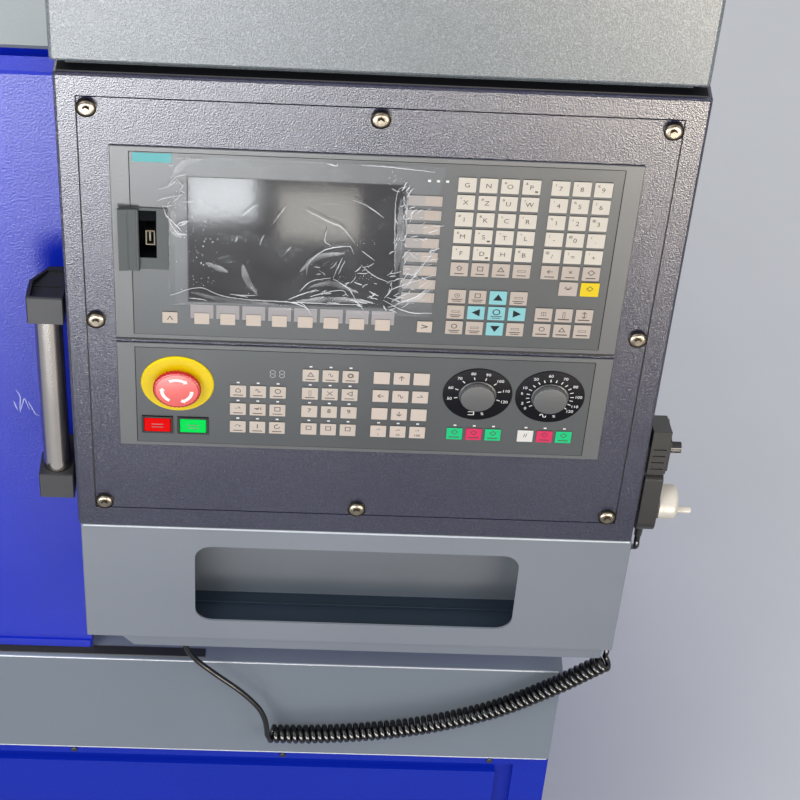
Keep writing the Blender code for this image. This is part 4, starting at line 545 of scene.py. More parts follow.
marks += [rule(355.5 + c * STEP[0], -116, 8, 0.9) for c in range(3)]
marks += [stamp("∧", 45.3, -175.7, 8), stamp(">", 257.1, -175.9, 9, wide=1.2)]
settle("pad_print", marks, ink)
ink_black = paint("cursor_print_black", (0.012, 0.014, 0.020), 0.6, 900, 0.00002, gleam=0.05)
settle("cursor_print", [stamp(sign, x, z, 8.5) for sign, x, z in (
    ("▲", 315.7, -141), ("▼", 315.7, -175.4), ("◀", 298.7, -158.2), ("▶", 332.7, -158.2),
    ("○", 315.7, -157))], ink_black)
white_print = paint("frame_print_white", (0.75, 0.75, 0.74), 0.5, 900, 0.00002)
lamps = slabs(FACE - 0.45, FACE - 0.1, [(x - 1.2, -23.4, x + 1.2, -21.2) for x in (251.3, 258.4, 265.6)],
              0.0001)
settle("status_lamps", lamps, white_print)


# Socket bay: a moulded frame round a black pocket with a cream socket, under a folding cover that
# stands open. The pocket's walls are dull black moulding, and black strips on the frame above and
# left of the pocket are painted shadow.
bay_grey = paint("bay_frame_grey", (0.050, 0.060, 0.060), 0.45, 800, 0.00006, 0.08, gleam=0.15)
wear(bay_grey, "usb_flap")
bay_frame = slabs(FACE - 1.25, FACE - 0.9, [(12.9, -73, 45.1, -59.9), (12.9, -123.6, 45.1, -111.6),
                                            (12.9, -111.8, 20.4, -72.6), (35.6, -111.8, 45.1, -72.6)], 0.0002)
settle("bay_frame", bay_frame, bay_grey)
pocket_black_and_shade = paint("bay_pocket_black_and_shade", (0.004, 0.005, 0.007), 0.7, 800, 0.00006, gleam=0.015)
pocket_walls_and_shade = slabs(FACE - 0.8, 14.2, [(20.45, -112, 20.75, -72.6), (35.3, -112, 35.55, -72.6),
                                  (20.7, -72.9, 35.4, -72.65), (20.7, -111.95, 35.4, -111.7)])
pocket_walls_and_shade += slabs(13.9, 14.3, [(20.7, -111.8, 35.4, -72.8)])
# Painted shadow: thin black plates on the frame's face above the pocket and along its left side.
pocket_walls_and_shade += slabs(FACE - 1.32, FACE - 1.2, [(20.4, -73, 35.9, -62.6), (20.1, -111.6, 20.6, -62.6)])
settle("bay_pocket_and_shade", pocket_walls_and_shade, pocket_black_and_shade)
socket_dark = paint("socket_dark", (0.012, 0.012, 0.013), 0.45, 700, 0.00003, gleam=0.1)
wear(socket_dark, "usb_socket")
tongue_white = paint("socket_tongue_white", (0.62, 0.56, 0.42), 0.4, 700, 0.00002, gleam=0.1)
settle("socket_tongue", [slab((29.0, 5.0, -100.2), (30.6, 10.2, -89.2), 0.0002)], tongue_white)
shell = slabs(2.3, 2.7, [(26.5, -102.1, 34.1, -101.2), (26.5, -88.1, 34.1, -87.2),
                         (26.5, -101.2, 27.4, -88.1), (33.2, -101.2, 34.1, -88.1)])
settle("socket_shell", shell,
       paint("socket_shell_brass", (0.42, 0.33, 0.20), 0.40, 600, 0.00003, 0.2, gleam=0.1))


# Control unit: the same frame and film as the screen unit, with three blocks of mode pads, a
# two-figure display and the six start and stop pads in green, red and white.
membrane("control_unit_film", -210.9, -322.1, [(19.2, 46.6, -310.5, -290.5), (50.0, 77.4, -310.5, -290.5)])
film_edge("control_unit_film_edge", -210.9, -322.1)
MODE = (13.4, 13.2)
RISE = (17.0, 21.15)
settle("mode_pads", grid(95.7, -250.8, 3, 3, MODE, RISE) + grid(157.2, -229.5, 3, 4, MODE, RISE),
       pad_finish("pad_mode", (0.64, 0.55, 0.47)))
settle("axis_pads", grid(217.8, -229.5, 3, 4, MODE, RISE), pad_finish("pad_axis", (0.68, 0.57, 0.49)))
pad_green = pad_finish("pad_green", (0.002, 0.60, 0.22))
pad_red = pad_finish("pad_red", (0.76, 0.028, 0.12))
HALT_X = (284.3, 301.1, 317.9, 346.3, 363.1, 379.9)
HALT_Z = -292.7
settle("start_pads", [pad(HALT_X[i], HALT_Z, MODE) for i in (0, 2, 5)], pad_green)
settle("halt_pads", [pad(HALT_X[i], HALT_Z, MODE) for i in (1, 4)], pad_red)
settle("reset_pad", [pad(HALT_X[3], HALT_Z, MODE)], pad_finish("pad_white", (0.78, 0.74, 0.69)))
signs = stamp_block(["⌂∿○", "→⇥□", "↷1↻"], 95.7, -249.6, MODE, RISE, 7.0)
signs += stamp_block(["△∿◎", "▯✕◁", "789", "□□□"], 157.2, -228.3, MODE, RISE, 6.6)
signs += stamp_block([" ↑ ", "←∿→", " ↓ "], 217.8, -229.3, MODE, RISE, 7.5)
signs += stamp_block(["→→→"], 217.8, -290.9, MODE, RISE, 5.4)
signs += [stamp("1", 224.5, -303.0, 3.8), stamp("10", 241.5, -303.0, 3.8), stamp("100", 258.5, -303.0, 3.8)]
for left, heights in ((95.7, (-261.6, -282.8, -303.9)), (157.2, (-240.4, -261.6))):
    signs += [rule(left + c * RISE[0] + 6.7, z, 8.4, 0.9) for c in range(3) for z in heights]
for x in HALT_X[:3] + HALT_X[4:]:
    signs += [stamp("◇", x + 6.7, HALT_Z - 4.8, 6.4), rule(x + 6.7, HALT_Z - 10.4, 9, 1.0)]
signs.append(stamp("//", HALT_X[3] + 6.7, HALT_Z - 5.8, 6.2))
settle("mode_print", signs, ink)
lamps = []
for x, top, rows, step in ((95.7, -250.8, 3, 17), (157.2, -229.5, 4, 17), (217.8, -292.95, 1, 17),
                           (HALT_X[0], HALT_Z, 1, 16.8), (HALT_X[3], HALT_Z, 1, 16.8)):
    spots = [(x + c * step + 6.7, top - r * RISE[1] + 3.1) for r in range(rows) for c in range(3)]
    lamps += slabs(FACE - 0.4, FACE - 0.1, [(u - 1.2, v - 0.7, u + 1.2, v + 0.7) for u, v in spots])
settle("pad_lamps", lamps, white_print)
figures = []
for x in (129.4, 137.3):
    figures += [rule(x + 2.2, z, 3.0, 0.6, FACE - 0.3) for z in (-232.4, -236.4, -240.4)]
    figures += [rule(x + side, z, 0.6, 2.8, FACE - 0.3) for z in (-234.4, -238.4) for side in (0.2, 4.2)]
settle("two_figure_display", figures, paint("unlit_segment", (0.42, 0.39, 0.36), 0.4, 900, 0.00002))


# Override dials: black printed plates with white figures, under grey moulded knobs. A knob sits on
# a shaft through its plate and turns against detents.
plate_black = paint("dial_plate_black", (0.006, 0.006, 0.009), 0.45, 800, 0.00003, 0.1, gleam=0.03)
skirt_grey = paint("knob_skirt_grey", (0.045, 0.047, 0.05), 0.35, 700, 0.00004, 0.1, gleam=0.25)
knob_grey = paint("knob_grey", (0.115, 0.115, 0.115), 0.42, 600, 0.00010, 0.06, gleam=0.14)
DIAL_Z = -251.5
DIAL_TOP = FACE - 1.1
DIAL_RADIUS = 29.9
FIGURE_CIRCLE = 24.6
TICK_RING = (17.6, 20.6)


def around(centre_x, angle, radius):
    """A point of a dial: the angle runs clockwise from the top, in degrees."""
    turn = math.radians(angle)
    return centre_x + radius * math.sin(turn), DIAL_Z + radius * math.cos(turn)


def tick(centre_x, angle, inner, outer, width):
    """A printed line on a dial, between two radii."""
    x, z = around(centre_x, angle, (inner + outer) / 2)
    reach = Vector((width, 0.04, outer - inner)) / 2000
    mark = block(-reach, reach)
    mark.location = on_console(x, DIAL_TOP - 0.05, z)
    mark.rotation_euler = (0, math.radians(angle), 0)
    return mark


def dial(name, centre_x, figures_at, ticks_at, sign):
    """A dial plate with its figures, its ticks and a sign under the knob."""
    plate = disc(on_console(centre_x, DIAL_TOP + 0.45, DIAL_Z), DIAL_RADIUS / 1000, 0.0010, 96,
                 edge=0.0002)
    soft_shade(settle(name + "_plate", [plate], plate_black))
    prints = [stamp(figure, *around(centre_x, angle, FIGURE_CIRCLE), 4.4, DIAL_TOP - 0.08, bold=0.004)
              for angle, figure in figures_at]
    prints += [tick(centre_x, angle, *TICK_RING, 0.85) for angle in ticks_at]
    prints += [stamp(sign, centre_x - 4, DIAL_Z - 22.6, 7.5, DIAL_TOP - 0.08, 1.3),
               stamp("%", centre_x + 5.6, DIAL_Z - 22.6, 4.0, DIAL_TOP - 0.08)]
    settle(name + "_print", prints, white_print)


def flute(piece, beyond, below, share):
    """Draws a round bar's side in, under its rim, by a share that depends on the angle."""
    for point in piece.data.vertices:
        if math.hypot(point.co.x, point.co.y) > beyond and point.co.z < below:
            left = 1 - share(math.atan2(point.co.y, point.co.x))
            point.co.x *= left
            point.co.y *= left


def knob(node, centre_x):
    """A fluted cap on a flat skirt, in a knob's place."""
    height = 0.0048
    rim = disc(on_console(centre_x, DIAL_TOP - 0.75, DIAL_Z), 0.0162, 0.0012, 64, edge=0.0003)
    soft_shade(settle(node + "_skirt", [rim], skirt_grey, node))
    cap = disc(on_console(centre_x, DIAL_TOP - 1.2 - height * 1000 / 2, DIAL_Z), 0.0150, height, 96,
               edge=0.0011, segments=4)
    flute(cap, 0.0138, height / 2 - 0.0002, lambda swing: 0.035 * (0.5 + 0.5 * math.cos(24 * swing)))
    whole = settle(node + "_cap", [cap], knob_grey, node)
    soft_shade(whole, 40)
    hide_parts(node)


spindle_scale = [(-103, "50"), (-73, "60"), (-42, "70"), (-12, "80"), (18, "90"), (48, "100"),
                 (78, "110"), (108, "120")]
feed_scale = [(-125, "0"), (-110, "2"), (-82, "6"), (-66, "10"), (-34, "20"), (-3, "60"), (28, "70"),
              (58, "80"), (88, "100"), (115, "110"), (131, "120")]
dial("spindle_dial", 307.6, spindle_scale, [angle for angle, _ in spindle_scale], "⊐")
dial("feed_dial", 370.0, feed_scale, (-125, -110, -96, -82, -66, -50, -34, -19, -3, 12, 28, 43, 58, 73,
                                      88, 101, 115, 131), "∿")
knob("spindle_override_knob", 307.6)
knob("feed_override_knob", 370.0)


# Emergency stop: a red mushroom head with a milled rim and three white turn arrows, on a yellow
# plastic collar. Pushed in it latches.
collar_yellow = paint("collar_yellow", (0.90, 0.66, 0.002), 0.38, 600, 0.00004, 0.05, gleam=0.10)
stop_red = paint("stop_red", (0.50, 0.014, 0.018), 0.32, 500, 0.00003, 0.06, gleam=0.3)
stop_face_lit_red = paint("stop_face_lit_red", (0.90, 0.130, 0.115), 0.36, 500, 0.00003, 0.05, gleam=0.3)
wear(collar_yellow, "stop_collar")
stop_centre = middle("stop_button")
stop_centre.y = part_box("stop_button")[0][1]
head = disc(stop_centre + Vector((0, 0.0023, 0)), 0.0205, 0.0046, 144, edge=0.0016, segments=5)
flute(head, 0.0186, 1, lambda swing: 0.030 if math.cos(36 * swing) > 0.1 else 0)
stem = disc(stop_centre + Vector((0, 0.0150, 0)), 0.0109, 0.0220, 48)
milled_head = settle("stop_mushroom", [head, stem], stop_red, "stop_button")
soft_shade(milled_head, 30)
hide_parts("stop_button")
# Painted light: the face is the head's own red plastic, painted lighter than the milled rim because it faces
# the light.
face_disc = disc(stop_centre + Vector((0, -0.00005, 0)), 0.0180, 0.0006, 96, edge=0.00025, segments=3)
soft_shade(settle("stop_face", [face_disc], stop_face_lit_red, "stop_button"), 50)


def turn_arrow(start, sweep, inner, outer):
    """A curved arrow on the stop's face, clockwise from its start angle."""
    shape = bmesh.new()

    def point(angle, radius):
        """A corner at an angle and a radius."""
        turn = math.radians(angle)
        return shape.verts.new((radius * math.sin(turn), 0, radius * math.cos(turn)))

    turns = [start + sweep * i / 14 for i in range(15)]
    rows = [(point(turn, inner), point(turn, outer)) for turn in turns]
    for (a, b), (c, d) in zip(rows, rows[1:]):
        shape.faces.new((a, b, d, c))
    tip = point(start + sweep + 14, (inner + outer) / 2)
    shape.faces.new((point(start + sweep, inner - 0.0012), point(start + sweep, outer + 0.0012), tip))
    shape.normal_update()
    for face in shape.faces:
        if face.normal.y > 0:
            face.normal_flip()
    arrow = from_shape("turn_arrow", shape)
    arrow.location = stop_centre + Vector((0, -0.00042, 0))
    return arrow


arrows = [turn_arrow(start, 62, 0.0112, 0.0142) for start in (-30, 90, 210)]
settle("stop_arrows", arrows, paint("arrow_white", (0.85, 0.82, 0.80), 0.4, 800, 0.00002), "stop_button")


# Lit push buttons: red and green translucent plastic caps, each in a black moulded frame that is
# clipped to the control unit.
frame_black = paint("button_frame_black", (0.008, 0.008, 0.009), 0.35, 700, 0.00005, gleam=0.2)
push_red = paint("push_red", (0.84, 0.001, 0.001), 0.45, 500, 0.00003, 0.08, gleam=0.015)
push_green = paint("push_green", (0.001, 0.78, 0.10), 0.45, 500, 0.00003, 0.08, gleam=0.015)
RIM = 0.0021
SLIT = 0.0003
front, back = on_console(0, FACE - 1.75, 0).y, on_console(0, FACE, 0).y
rims = []
for node, finish in (("red_button", push_red), ("green_button", push_green)):
    wear(finish, node)
    low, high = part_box(node)
    a, b, c, d = low[0] - RIM, high[0] + RIM, low[2] - RIM, high[2] + RIM
    left, right = low[0] - SLIT, high[0] + SLIT
    for x, z, far_x, far_z in ((a, c, left, d), (right, c, b, d), (left, c, right, low[2] - SLIT),
                               (left, high[2] + SLIT, right, d)):
        rims.append(block((x, front, z), (far_x, back, far_z), 0.0003))
    x, z = (low[0] + high[0]) / 2, (low[2] + high[2]) / 2
    bars = [block((x - 0.005, low[1] - 0.00006, z + shift - 0.0004), (x + 0.005, low[1], z + shift + 0.0004))
            for shift in (0.0016, -0.0018)]
    settle(node + "_print", bars, paint(node + "_print_dark", (0.05, 0.03, 0.03), 0.5, 900, 0.00002), node)
settle("button_frames", rims, frame_black)


# Cover film: the clear protective film still on the display, loose at its edges. Where it has
# crumpled, its creases and soft folds are thin raised ridges, and they and its rim are painted
# highlights: a whitish finish far less clear than the film.
def sheer(name, colour, roughness, thin, thick, height=0.0004):
    """Clear film or glass: how much it shows drifts between two shares."""
    finish = paint(name, colour, roughness, 60, height, 0.04)
    veil = remap(finish, noise_map(finish, 30, 3), 0.35, 0.70, thin, thick)
    finish.node_tree.links.new(veil, finish.node_tree.nodes["Principled BSDF"].inputs["Alpha"])
    return finish


film_clear = sheer("cover_film_clear", (0.80, 0.82, 0.86), 0.10, 0.045, 0.085)
# Painted highlights: whitish, far less clear finishes for the creases, folds and rim.
film_crease_highlight = sheer("cover_film_crease_highlight", (0.86, 0.87, 0.89), 0.25, 0.50, 0.95)
film_fold_highlight = sheer("cover_film_fold_highlight", (0.80, 0.80, 0.82), 0.35, 0.08, 0.36)
FILM = PAD_TOP - 0.45


def film_lift(x, z):
    """How far the loose film stands off the display at a point, in millimetres."""
    loose = max(0, 1 - (262 - x) / 60) * 0.6 + max(0, 1 - (z + 168) / 30) * 0.5
    return 0.25 + 0.45 * loose + 0.35 * noise.noise(Vector((x * 0.035, z * 0.05, 9)))


def film_edge_in(x, z):
    """Whether a point lies inside the film's ragged outline."""
    ragged = 3 * noise.noise(Vector((x * 0.06, z * 0.06, 3)))
    left = 47.5 + max(0, -z - 20) * 0.02 - max(0, 20 + z) * 0.5
    low = -160 - 0.012 * (x - 50) + ragged * 0.6 + (4 if 88 < x < 128 else 0)
    return x > left + ragged * 0.5 and x < 262 + ragged and -6.5 + ragged * 0.3 > z > low


bpy.ops.mesh.primitive_grid_add(x_subdivisions=180, y_subdivisions=140, size=1, location=(0, 0, 0))
cover = bpy.context.object
keep = []
for point in cover.data.vertices:
    x, z = 36 + 232 * (point.co.x + 0.5), -172 + 170 * (point.co.y + 0.5)
    keep.append(film_edge_in(x, z))
    point.co = on_console(x, FILM - max(0.05, film_lift(x, z)), z)
flags = iter(keep)
pick(cover, 'VERT', lambda _: not next(flags))
bpy.ops.mesh.delete(type='VERT')
bpy.ops.mesh.select_all(action='SELECT')
bpy.ops.mesh.normals_make_consistent(inside=False)
bpy.ops.object.mode_set(mode='OBJECT')
bpy.ops.object.shade_smooth()
settle("display_cover_film", [cover], film_clear)


def smooth_route(points, step):
    """Reads points at even steps from a smooth curve through the route's own points."""
    points = [Vector(p) for p in points]
    padded = [2 * points[0] - points[1]] + points + [2 * points[-1] - points[-2]]
    fine = []
    for a, b, c, d in zip(padded, padded[1:], padded[2:], padded[3:]):
        for i in range(24):
            t = i / 24
            fine.append(0.5 * (2 * b + (c - a) * t + (2 * a - 5 * b + 4 * c - d) * t * t
                               + (3 * b - a - 3 * c + d) * t ** 3))
    fine.append(points[-1])
    total = sum((q - p).length for p, q in zip(fine, fine[1:]))
    count = max(2, round(total / step))
    even = [fine[0]]
    wanted = total / count
    travelled = 0
    for p, q in zip(fine, fine[1:]):
        run = (q - p).length
        while travelled + run >= wanted * len(even) and len(even) < count:
            even.append(p.lerp(q, (wanted * len(even) - travelled) / run))
        travelled += run
    even.append(fine[-1])
    return even


def ridge(points, width, proud=0.35, depth=None):
    """A thin tapering ridge along its points, on the film unless a depth is given."""
    line = smooth_route(points, 1.3)
    shape = bmesh.new()
    rows = []
    for i, spot in enumerate(line):
        way = (line[min(i + 1, len(line) - 1)] - line[max(i - 1, 0)]).normalized()
        aside = Vector((-way.y, way.x))
        waver = 0.45 * noise.noise(Vector((spot.x * 0.3, spot.y * 0.3, 4)))
        share = math.sin(math.pi * min(0.97, max(0.03, i / (len(line) - 1)))) ** 0.5
        half = width / 2 * share * (1 + 0.6 * noise.noise(Vector((spot.x * 0.5, spot.y * 0.5, 8))))
        core = spot + aside * waver
        lift = FILM - max(0.05, film_lift(spot.x, spot.y)) - 0.06 if depth is None else depth
        rows.append([shape.verts.new(on_console(core.x + aside.x * k * half, lift - h * proud,
                                                core.y + aside.y * k * half))
                     for k, h in ((-1, 0), (0, 1), (1, 0))])
    for upper, lower in zip(rows, rows[1:]):
        for k in (0, 1):
            shape.faces.new((upper[k], upper[k + 1], lower[k + 1], lower[k]))
    bmesh.ops.recalc_face_normals(shape, faces=shape.faces)
    return from_shape("crease", shape)


def lines_of(rows):
    """Lines written as x and z in millimetres, with a comma between two lines."""
    numbers = [[float(n) for n in row.split()] for row in rows.split(",")]
    return [list(zip(row[::2], row[1::2])) for row in numbers]


sharp = lines_of("""
    37 -51 45 -48 57 -45, 53 -30 57 -36 55 -40 59 -43, 41 -56 44 -66 50 -74 56 -82,
    45 -62 47 -74 53 -84 60 -85, 38 -40 46 -36 52 -27 60 -24,
    46 -150 70 -141 93 -150 143 -153 204 -153, 104 -64 115 -52, 129 -70 139 -52, 99 -91 101 -85,
    119 -91 122 -82, 140 -99 144 -94, 155 -55 173 -66 184 -72 195 -87, 172 -74 171 -86 176 -91,
    157 -123 159 -110 171 -96 190 -91 195 -99, 179 -125 186 -103, 183 -121 188 -106,
    152 -141 161 -130 177 -125, 143 -150 166 -138, 161 -146 185 -138 192 -144,
    179 -126 192 -136 198 -147, 201 -110 212 -121 226 -128, 201 -95 212 -105,
    192 -43 204 -49 217 -60, 234 -27 226 -39 229 -119, 235 -38 235 -68, 236 -137 261 -90,
    224 -142 229 -134 263 -117, 228 -153 250 -140 261 -124, 221 -147 242 -159 262 -159,
    170 -8 178 -10 178 -7, 197 -8 220 -9 255 -12""")
draw = random.Random(11)


def crumple(count, low, high, longest, slant):
    """Short random creases in a field between two corners, mostly along one slant in degrees."""
    lines = []
    for _ in range(count):
        x, z = draw.uniform(low[0], high[0]), draw.uniform(low[1], high[1])
        way = math.radians(slant + draw.gauss(0, 28))
        reach = longest * draw.uniform(0.25, 1)
        bow = Vector((-math.sin(way), math.cos(way))) * reach * draw.uniform(-0.15, 0.15)
        ahead = Vector((math.cos(way), math.sin(way))) * reach
        start = Vector((x, z))
        lines.append([tuple(start), tuple(start + ahead / 2 + bow), tuple(start + ahead)])
    return lines


small = []
for field in ((40, (222, -158), (255, -95), 12, 35), (22, (226, -95), (238, -26), 11, 80),
              (12, (40, -80), (57, -26), 12, 55), (20, (160, -150), (212, -112), 10, 38),
              (8, (60, -156), (210, -146), 20, 2), (50, (63, -140), (86, -50), 1.2, 80),
              (16, (238, -90), (258, -50), 10, 20), (12, (196, -160), (232, -128), 10, -30)):
    small += crumple(*field)
edge_line = lines_of("""
    47 -9 120 -7 200 -8 258 -9, 47 -20 46 -90 45 -158, 47 -160 90 -157 140 -161 210 -162 260 -163,
    261 -12 262 -90 261 -160""")
settle("cover_film_crease_highlights", [ridge(points, 0.75 + 0.7 * abs(noise.noise(Vector((i * 1.7, 2, 5)))))
                              for i, points in enumerate(sharp)]
       + [ridge(points, draw.uniform(0.45, 1.25)) for points in small], film_crease_highlight)
settle("cover_film_rim_highlight", [ridge(points, 0.5) for points in edge_line], film_fold_highlight)
wide = lines_of("""
    49 -60 50 -83 60 -85, 63 -146 93 -154 133 -156, 105 -114 109 -131 117 -146, 75 -114 93 -123,
    48 -30 58 -14 73 -9, 152 -120 165 -104 188 -98, 160 -136 178 -131 200 -140,
    228 -150 246 -146 261 -132, 230 -40 231 -80 230 -118, 240 -128 252 -108 258 -96,
    150 -152 180 -148 212 -150""")
settle("cover_film_fold_highlights", [ridge(points, 5.5, 0.5) for points in wide], film_fold_highlight)


# Shroud: a folded box above the console, sprayed in a light grey textured paint, on a narrower
# neck that leaves a gap. The gap's darkness is painted shadow, a black strip on the console's top.
# The shroud's hammer finish carries the same painted glints in its colour.
shroud_grey = hammered("shroud_grey", (0.185, 0.207, 0.217), 950, 0.00013, 0.28, 0.24, 0.4)
wear(shroud_grey, "console_shroud")


# Tool tray: a folded steel box screwed under the console, with a round-cornered slot to reach in.
# It is painted as the belt, and its inside is painted shade: dark navy on the floor and sides, darker grey on
# the back.
tray_grey = paint("tray_grey", (0.185, 0.205, 0.238), 0.34, 320, 0.00010, 0.08)
wear(tray_grey, "tool_tray")
tray_low, tray_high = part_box("tool_tray")
# Painted highlight: a pale strip along the tray's top front fold, where the light catches it.
fold_highlight_bar = strip(tray_low, tray_high, 0.002, -0.0003, 0.0012, tray_high[2] - 0.0016,
                  tray_high[2] + 0.0001, 0.0004)
settle("tray_fold_highlight", [fold_highlight_bar], paint("tray_edge_highlight", (0.52, 0.56, 0.60), 0.35, 500, 0.0002, 0.25))
# Painted shade: plates inside the slot, darker than the tray's outside, the floor and sides darkest.
slot_walls = slabs(2.4, 45.7, [(54.8, -569.9, 373.2, -569.2), (54.7, -569.5, 55.2, -448.5),
                               (372.8, -569.5, 373.3, -448.5)])
slot_walls.append(slab((54.8, 29.5, -569.4), (373.2, 31, -566.6), 0.0005))
slot_shade_navy = paint("slot_shade_navy", (0.017, 0.028, 0.045), 0.45, 320, 0.0001, 0.2, gleam=0.4)
settle("tray_slot_shade", slot_walls, slot_shade_navy)
settle("tray_slot_back", [slab((54.8, 45.2, -569.3), (373.2, 45.8, -448.5))],
       paint("slot_back_shade_grey", (0.12, 0.14, 0.165), 0.4, 320, 0.0001, 0.2))
tray_screw = disc(on_console(68, 12, -568.8), 0.0030, 0.0024, 20, (0, 0, 0), 0.0005)
soft_shade(settle("tray_screw", [tray_screw], screw_nickel))


# Door: a folded leaf that slides left on two rails, with a laminated window set in a rubber
# gasket, and a tubular handle of brushed stainless steel between black moulded brackets.
door_blue = paint("door_blue", (0.003, 0.021, 0.52), 0.35, 520, 0.00036, 0.10, gleam=0.27)
wear(door_blue, "door_leaf", "headstock_housing", "front_cover")
wear(machine_blue, "back_cover", "end_cover")
rubber_and_shade_black = paint("gasket_rubber_and_shade", (0.012, 0.012, 0.013), 0.65, 700, 0.0001)
stainless = turned_metal("stainless_tube", (0.42, 0.39, 0.36), 0.20, (1500, 1500, 8), 0.00006, 0.2)
wear(stainless, "handle_tube")
bracket_black = paint("bracket_black", (0.032, 0.032, 0.035), 0.42, 900, 0.0002, gleam=0.18)
wear(bracket_black, "handle_bracket_top", "handle_bracket_bottom")
rail_steel = turned_metal("rail_steel", (0.5, 0.5, 0.5), 0.3, (8, 700, 700), 0.00003)
wear(rail_steel, "door_top_rail", "door_bottom_rail")
wear(sheer("door_pane", (0.35, 0.42, 0.42), 0.08, 0.16, 0.24, 0.00004), "door_window")
tube_low, tube_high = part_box("handle_tube")
grip = disc(middle("handle_tube"), (tube_high[0] - tube_low[0]) / 2, tube_high[2] - tube_low[2], 64,
            (0, 0, 0))
grip = soft_shade(settle("handle_grip", [grip], stainless, "door"))
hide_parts("handle_tube")
leaf_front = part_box("door_leaf")[0][1]
PANE_INSET = 0.012
win_low, win_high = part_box("door_window")
a, b = win_low[0] + PANE_INSET, win_high[0] - PANE_INSET
c, d = win_low[2] + PANE_INSET, win_high[2] - PANE_INSET
seal = [block((x, leaf_front - 0.0025, z), (far_x, leaf_front + 0.006, far_z), 0.001)
        for x, z, far_x, far_z in ((a - 0.006, c - 0.006, b + 0.006, c + 0.004),
                                   (a - 0.006, d - 0.004, b + 0.006, d + 0.006),
                                   (a - 0.006, c + 0.004, a + 0.004, d - 0.004),
                                   (b - 0.004, c + 0.004, b + 0.006, d - 0.004))]
settle("door_window_seal", seal, rubber_and_shade_black, "door")
scuffs = lines_of("""
    -98 -326 -95 -335 -96 -354, -96 -354 -93 -343 -91 -337 -87 -351,
    -88 -340 -84 -351 -82 -356 -78 -358, -101 -340 -98 -352, -75 -330 -72 -338""")
door_depth = (leaf_front - unit_corner.y) * 1000
settle("door_scuffs", [ridge(points, 0.9, 0.05, door_depth - 0.04) for points in scuffs],
       paint("scuff_pale", (0.42, 0.48, 0.75), 0.6, 900, 0.0001, 0.2), "door")
# Painted shadow: a black strip on the pan's top along the door's foot, for the shade under the door.
door_shadow_strip = block((pan_low[0] + 0.006, leaf_front - 0.0048, pan_high[2] - 0.0002),
             (on_console(70, 0, 0).x, leaf_front + 0.006, pan_high[2] + 0.0012))
settle("door_sill_shadow", [door_shadow_strip], rubber_and_shade_black)


# Wheel unit: a hand-held black moulding on a hook plate at the console's side, with a fluted axis
# selector and a white pulse wheel with a crank pin.
moulded_black = paint("moulded_black", (0.012, 0.011, 0.011), 0.34, 800, 0.00012, gleam=0.3)
wear(moulded_black, "handwheel_body", "handwheel_hanger", "axis_selector")
wheel_white = paint("wheel_white", (0.68, 0.62, 0.53), 0.38, 600, 0.00006, 0.05, gleam=0.3)
hub = on_console(483.7, 21, -399.5)
sideways = (0, math.pi / 2, 0)
turned_parts = [disc(hub + Vector((out, 0, drop)), radius, length, sides, sideways, edge, segments)
                for out, drop, radius, length, sides, edge, segments in (
                    (0.0096, 0, 0.0159, 0.0188, 72, 0.0052, 7), (0.0030, 0, 0.0160, 0.0036, 72, 0.0006, 2),
                    (0.0250, -0.0105, 0.0030, 0.0172, 32, 0.0012, 4), (-0.0030, 0, 0.0035, 0.0060, 24, 0, 2))]
wheel = soft_shade(settle("pulse_wheel_dome", turned_parts, wheel_white, "pulse_wheel"), 40)
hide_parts("pulse_wheel")


# Curly cord: a black polyurethane cord, from its gland under the tray, wound in a long sagging
# coil under the console and then straight up to the wheel unit.
cord_black = paint("cord_black", (0.004, 0.004, 0.005), 0.20, 900, 0.00002, gleam=0.35)
wear(cord_black, "tray_cord_gland")
GAP = 0.3
COIL_REACH = 7.2
COIL_TURNS = 56.5
CORD_WIDTH = 5.6
coil_route = ((137.3, 38, -778.9), (178.3, 38, -777.9), (229.5, 38, -772.2), (280.4, 38, -761.7),
              (325, 38, -746.5), (369.9, 38, -725.4), (417.4, 38, -692.3), (445.2, 38, -669.2),
              (468.5, 38, -649))
lead_route = ((53, 32.3, -640), (62, 33, -658), (81, 33.5, -680), (106, 34, -706.5), (123.5, 33.5, -729.5),
              (131, 32, -746), (133.8, 30.8, -762), (134.6, 30.6, -772))
tail_route = ((470.3, 48.5, -634), (470.2, 54, -618), (470.6, 60, -600), (471.2, 63, -570),
              (471.8, 61, -530), (472.6, 46, -490))
axis_line = smooth_route(coil_route, 0.45)
coarse = smooth_route(coil_route, 9)
end_way = (coarse[-1] - coarse[-2]).normalized()
up = Vector((-end_way.z, 0, end_way.x))
foot, top = ((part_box(node)[0][2] - unit_corner.z) * 1000 - GAP
             for node in ("tray_cord_gland", "handwheel_body"))
lead = smooth_route([(52, 32, foot)] + list(lead_route), 3)
leave = coarse[-1] + (CORD_WIDTH / 2 + 2 * GAP) * end_way + Vector((0, COIL_REACH, 0))
tail = [leave + 3 * up] + list(tail_route) + [(473, 21, top - low) for low in (16, 8, 0.3)]
tail = smooth_route(tail, 3)
wound = []
count = len(axis_line)
for index, spot in enumerate(axis_line):
    ahead = (axis_line[min(index + 1, count - 1)] - axis_line[max(index - 1, 0)]).normalized()
    turned = 2 * math.pi * COIL_TURNS * index / (count - 1)
    below = Vector((ahead.z, 0, -ahead.x))
    wound.append(spot + COIL_REACH * (math.cos(turned) * Vector((0, -1, 0)) + math.sin(turned) * below))
path = [on_console(*p) for p in lead + wound + tail]
guide = bpy.data.curves.new("curly_cord", 'CURVE')
guide.dimensions = '3D'
guide.bevel_depth = CORD_WIDTH / 2000
guide.bevel_resolution = 3
guide.use_fill_caps = True
line = guide.splines.new('POLY')
line.points.add(len(path) - 1)
for knot, spot in zip(line.points, path):
    knot.co = (*spot, 1)
cord = hang("curly_cord", guide)
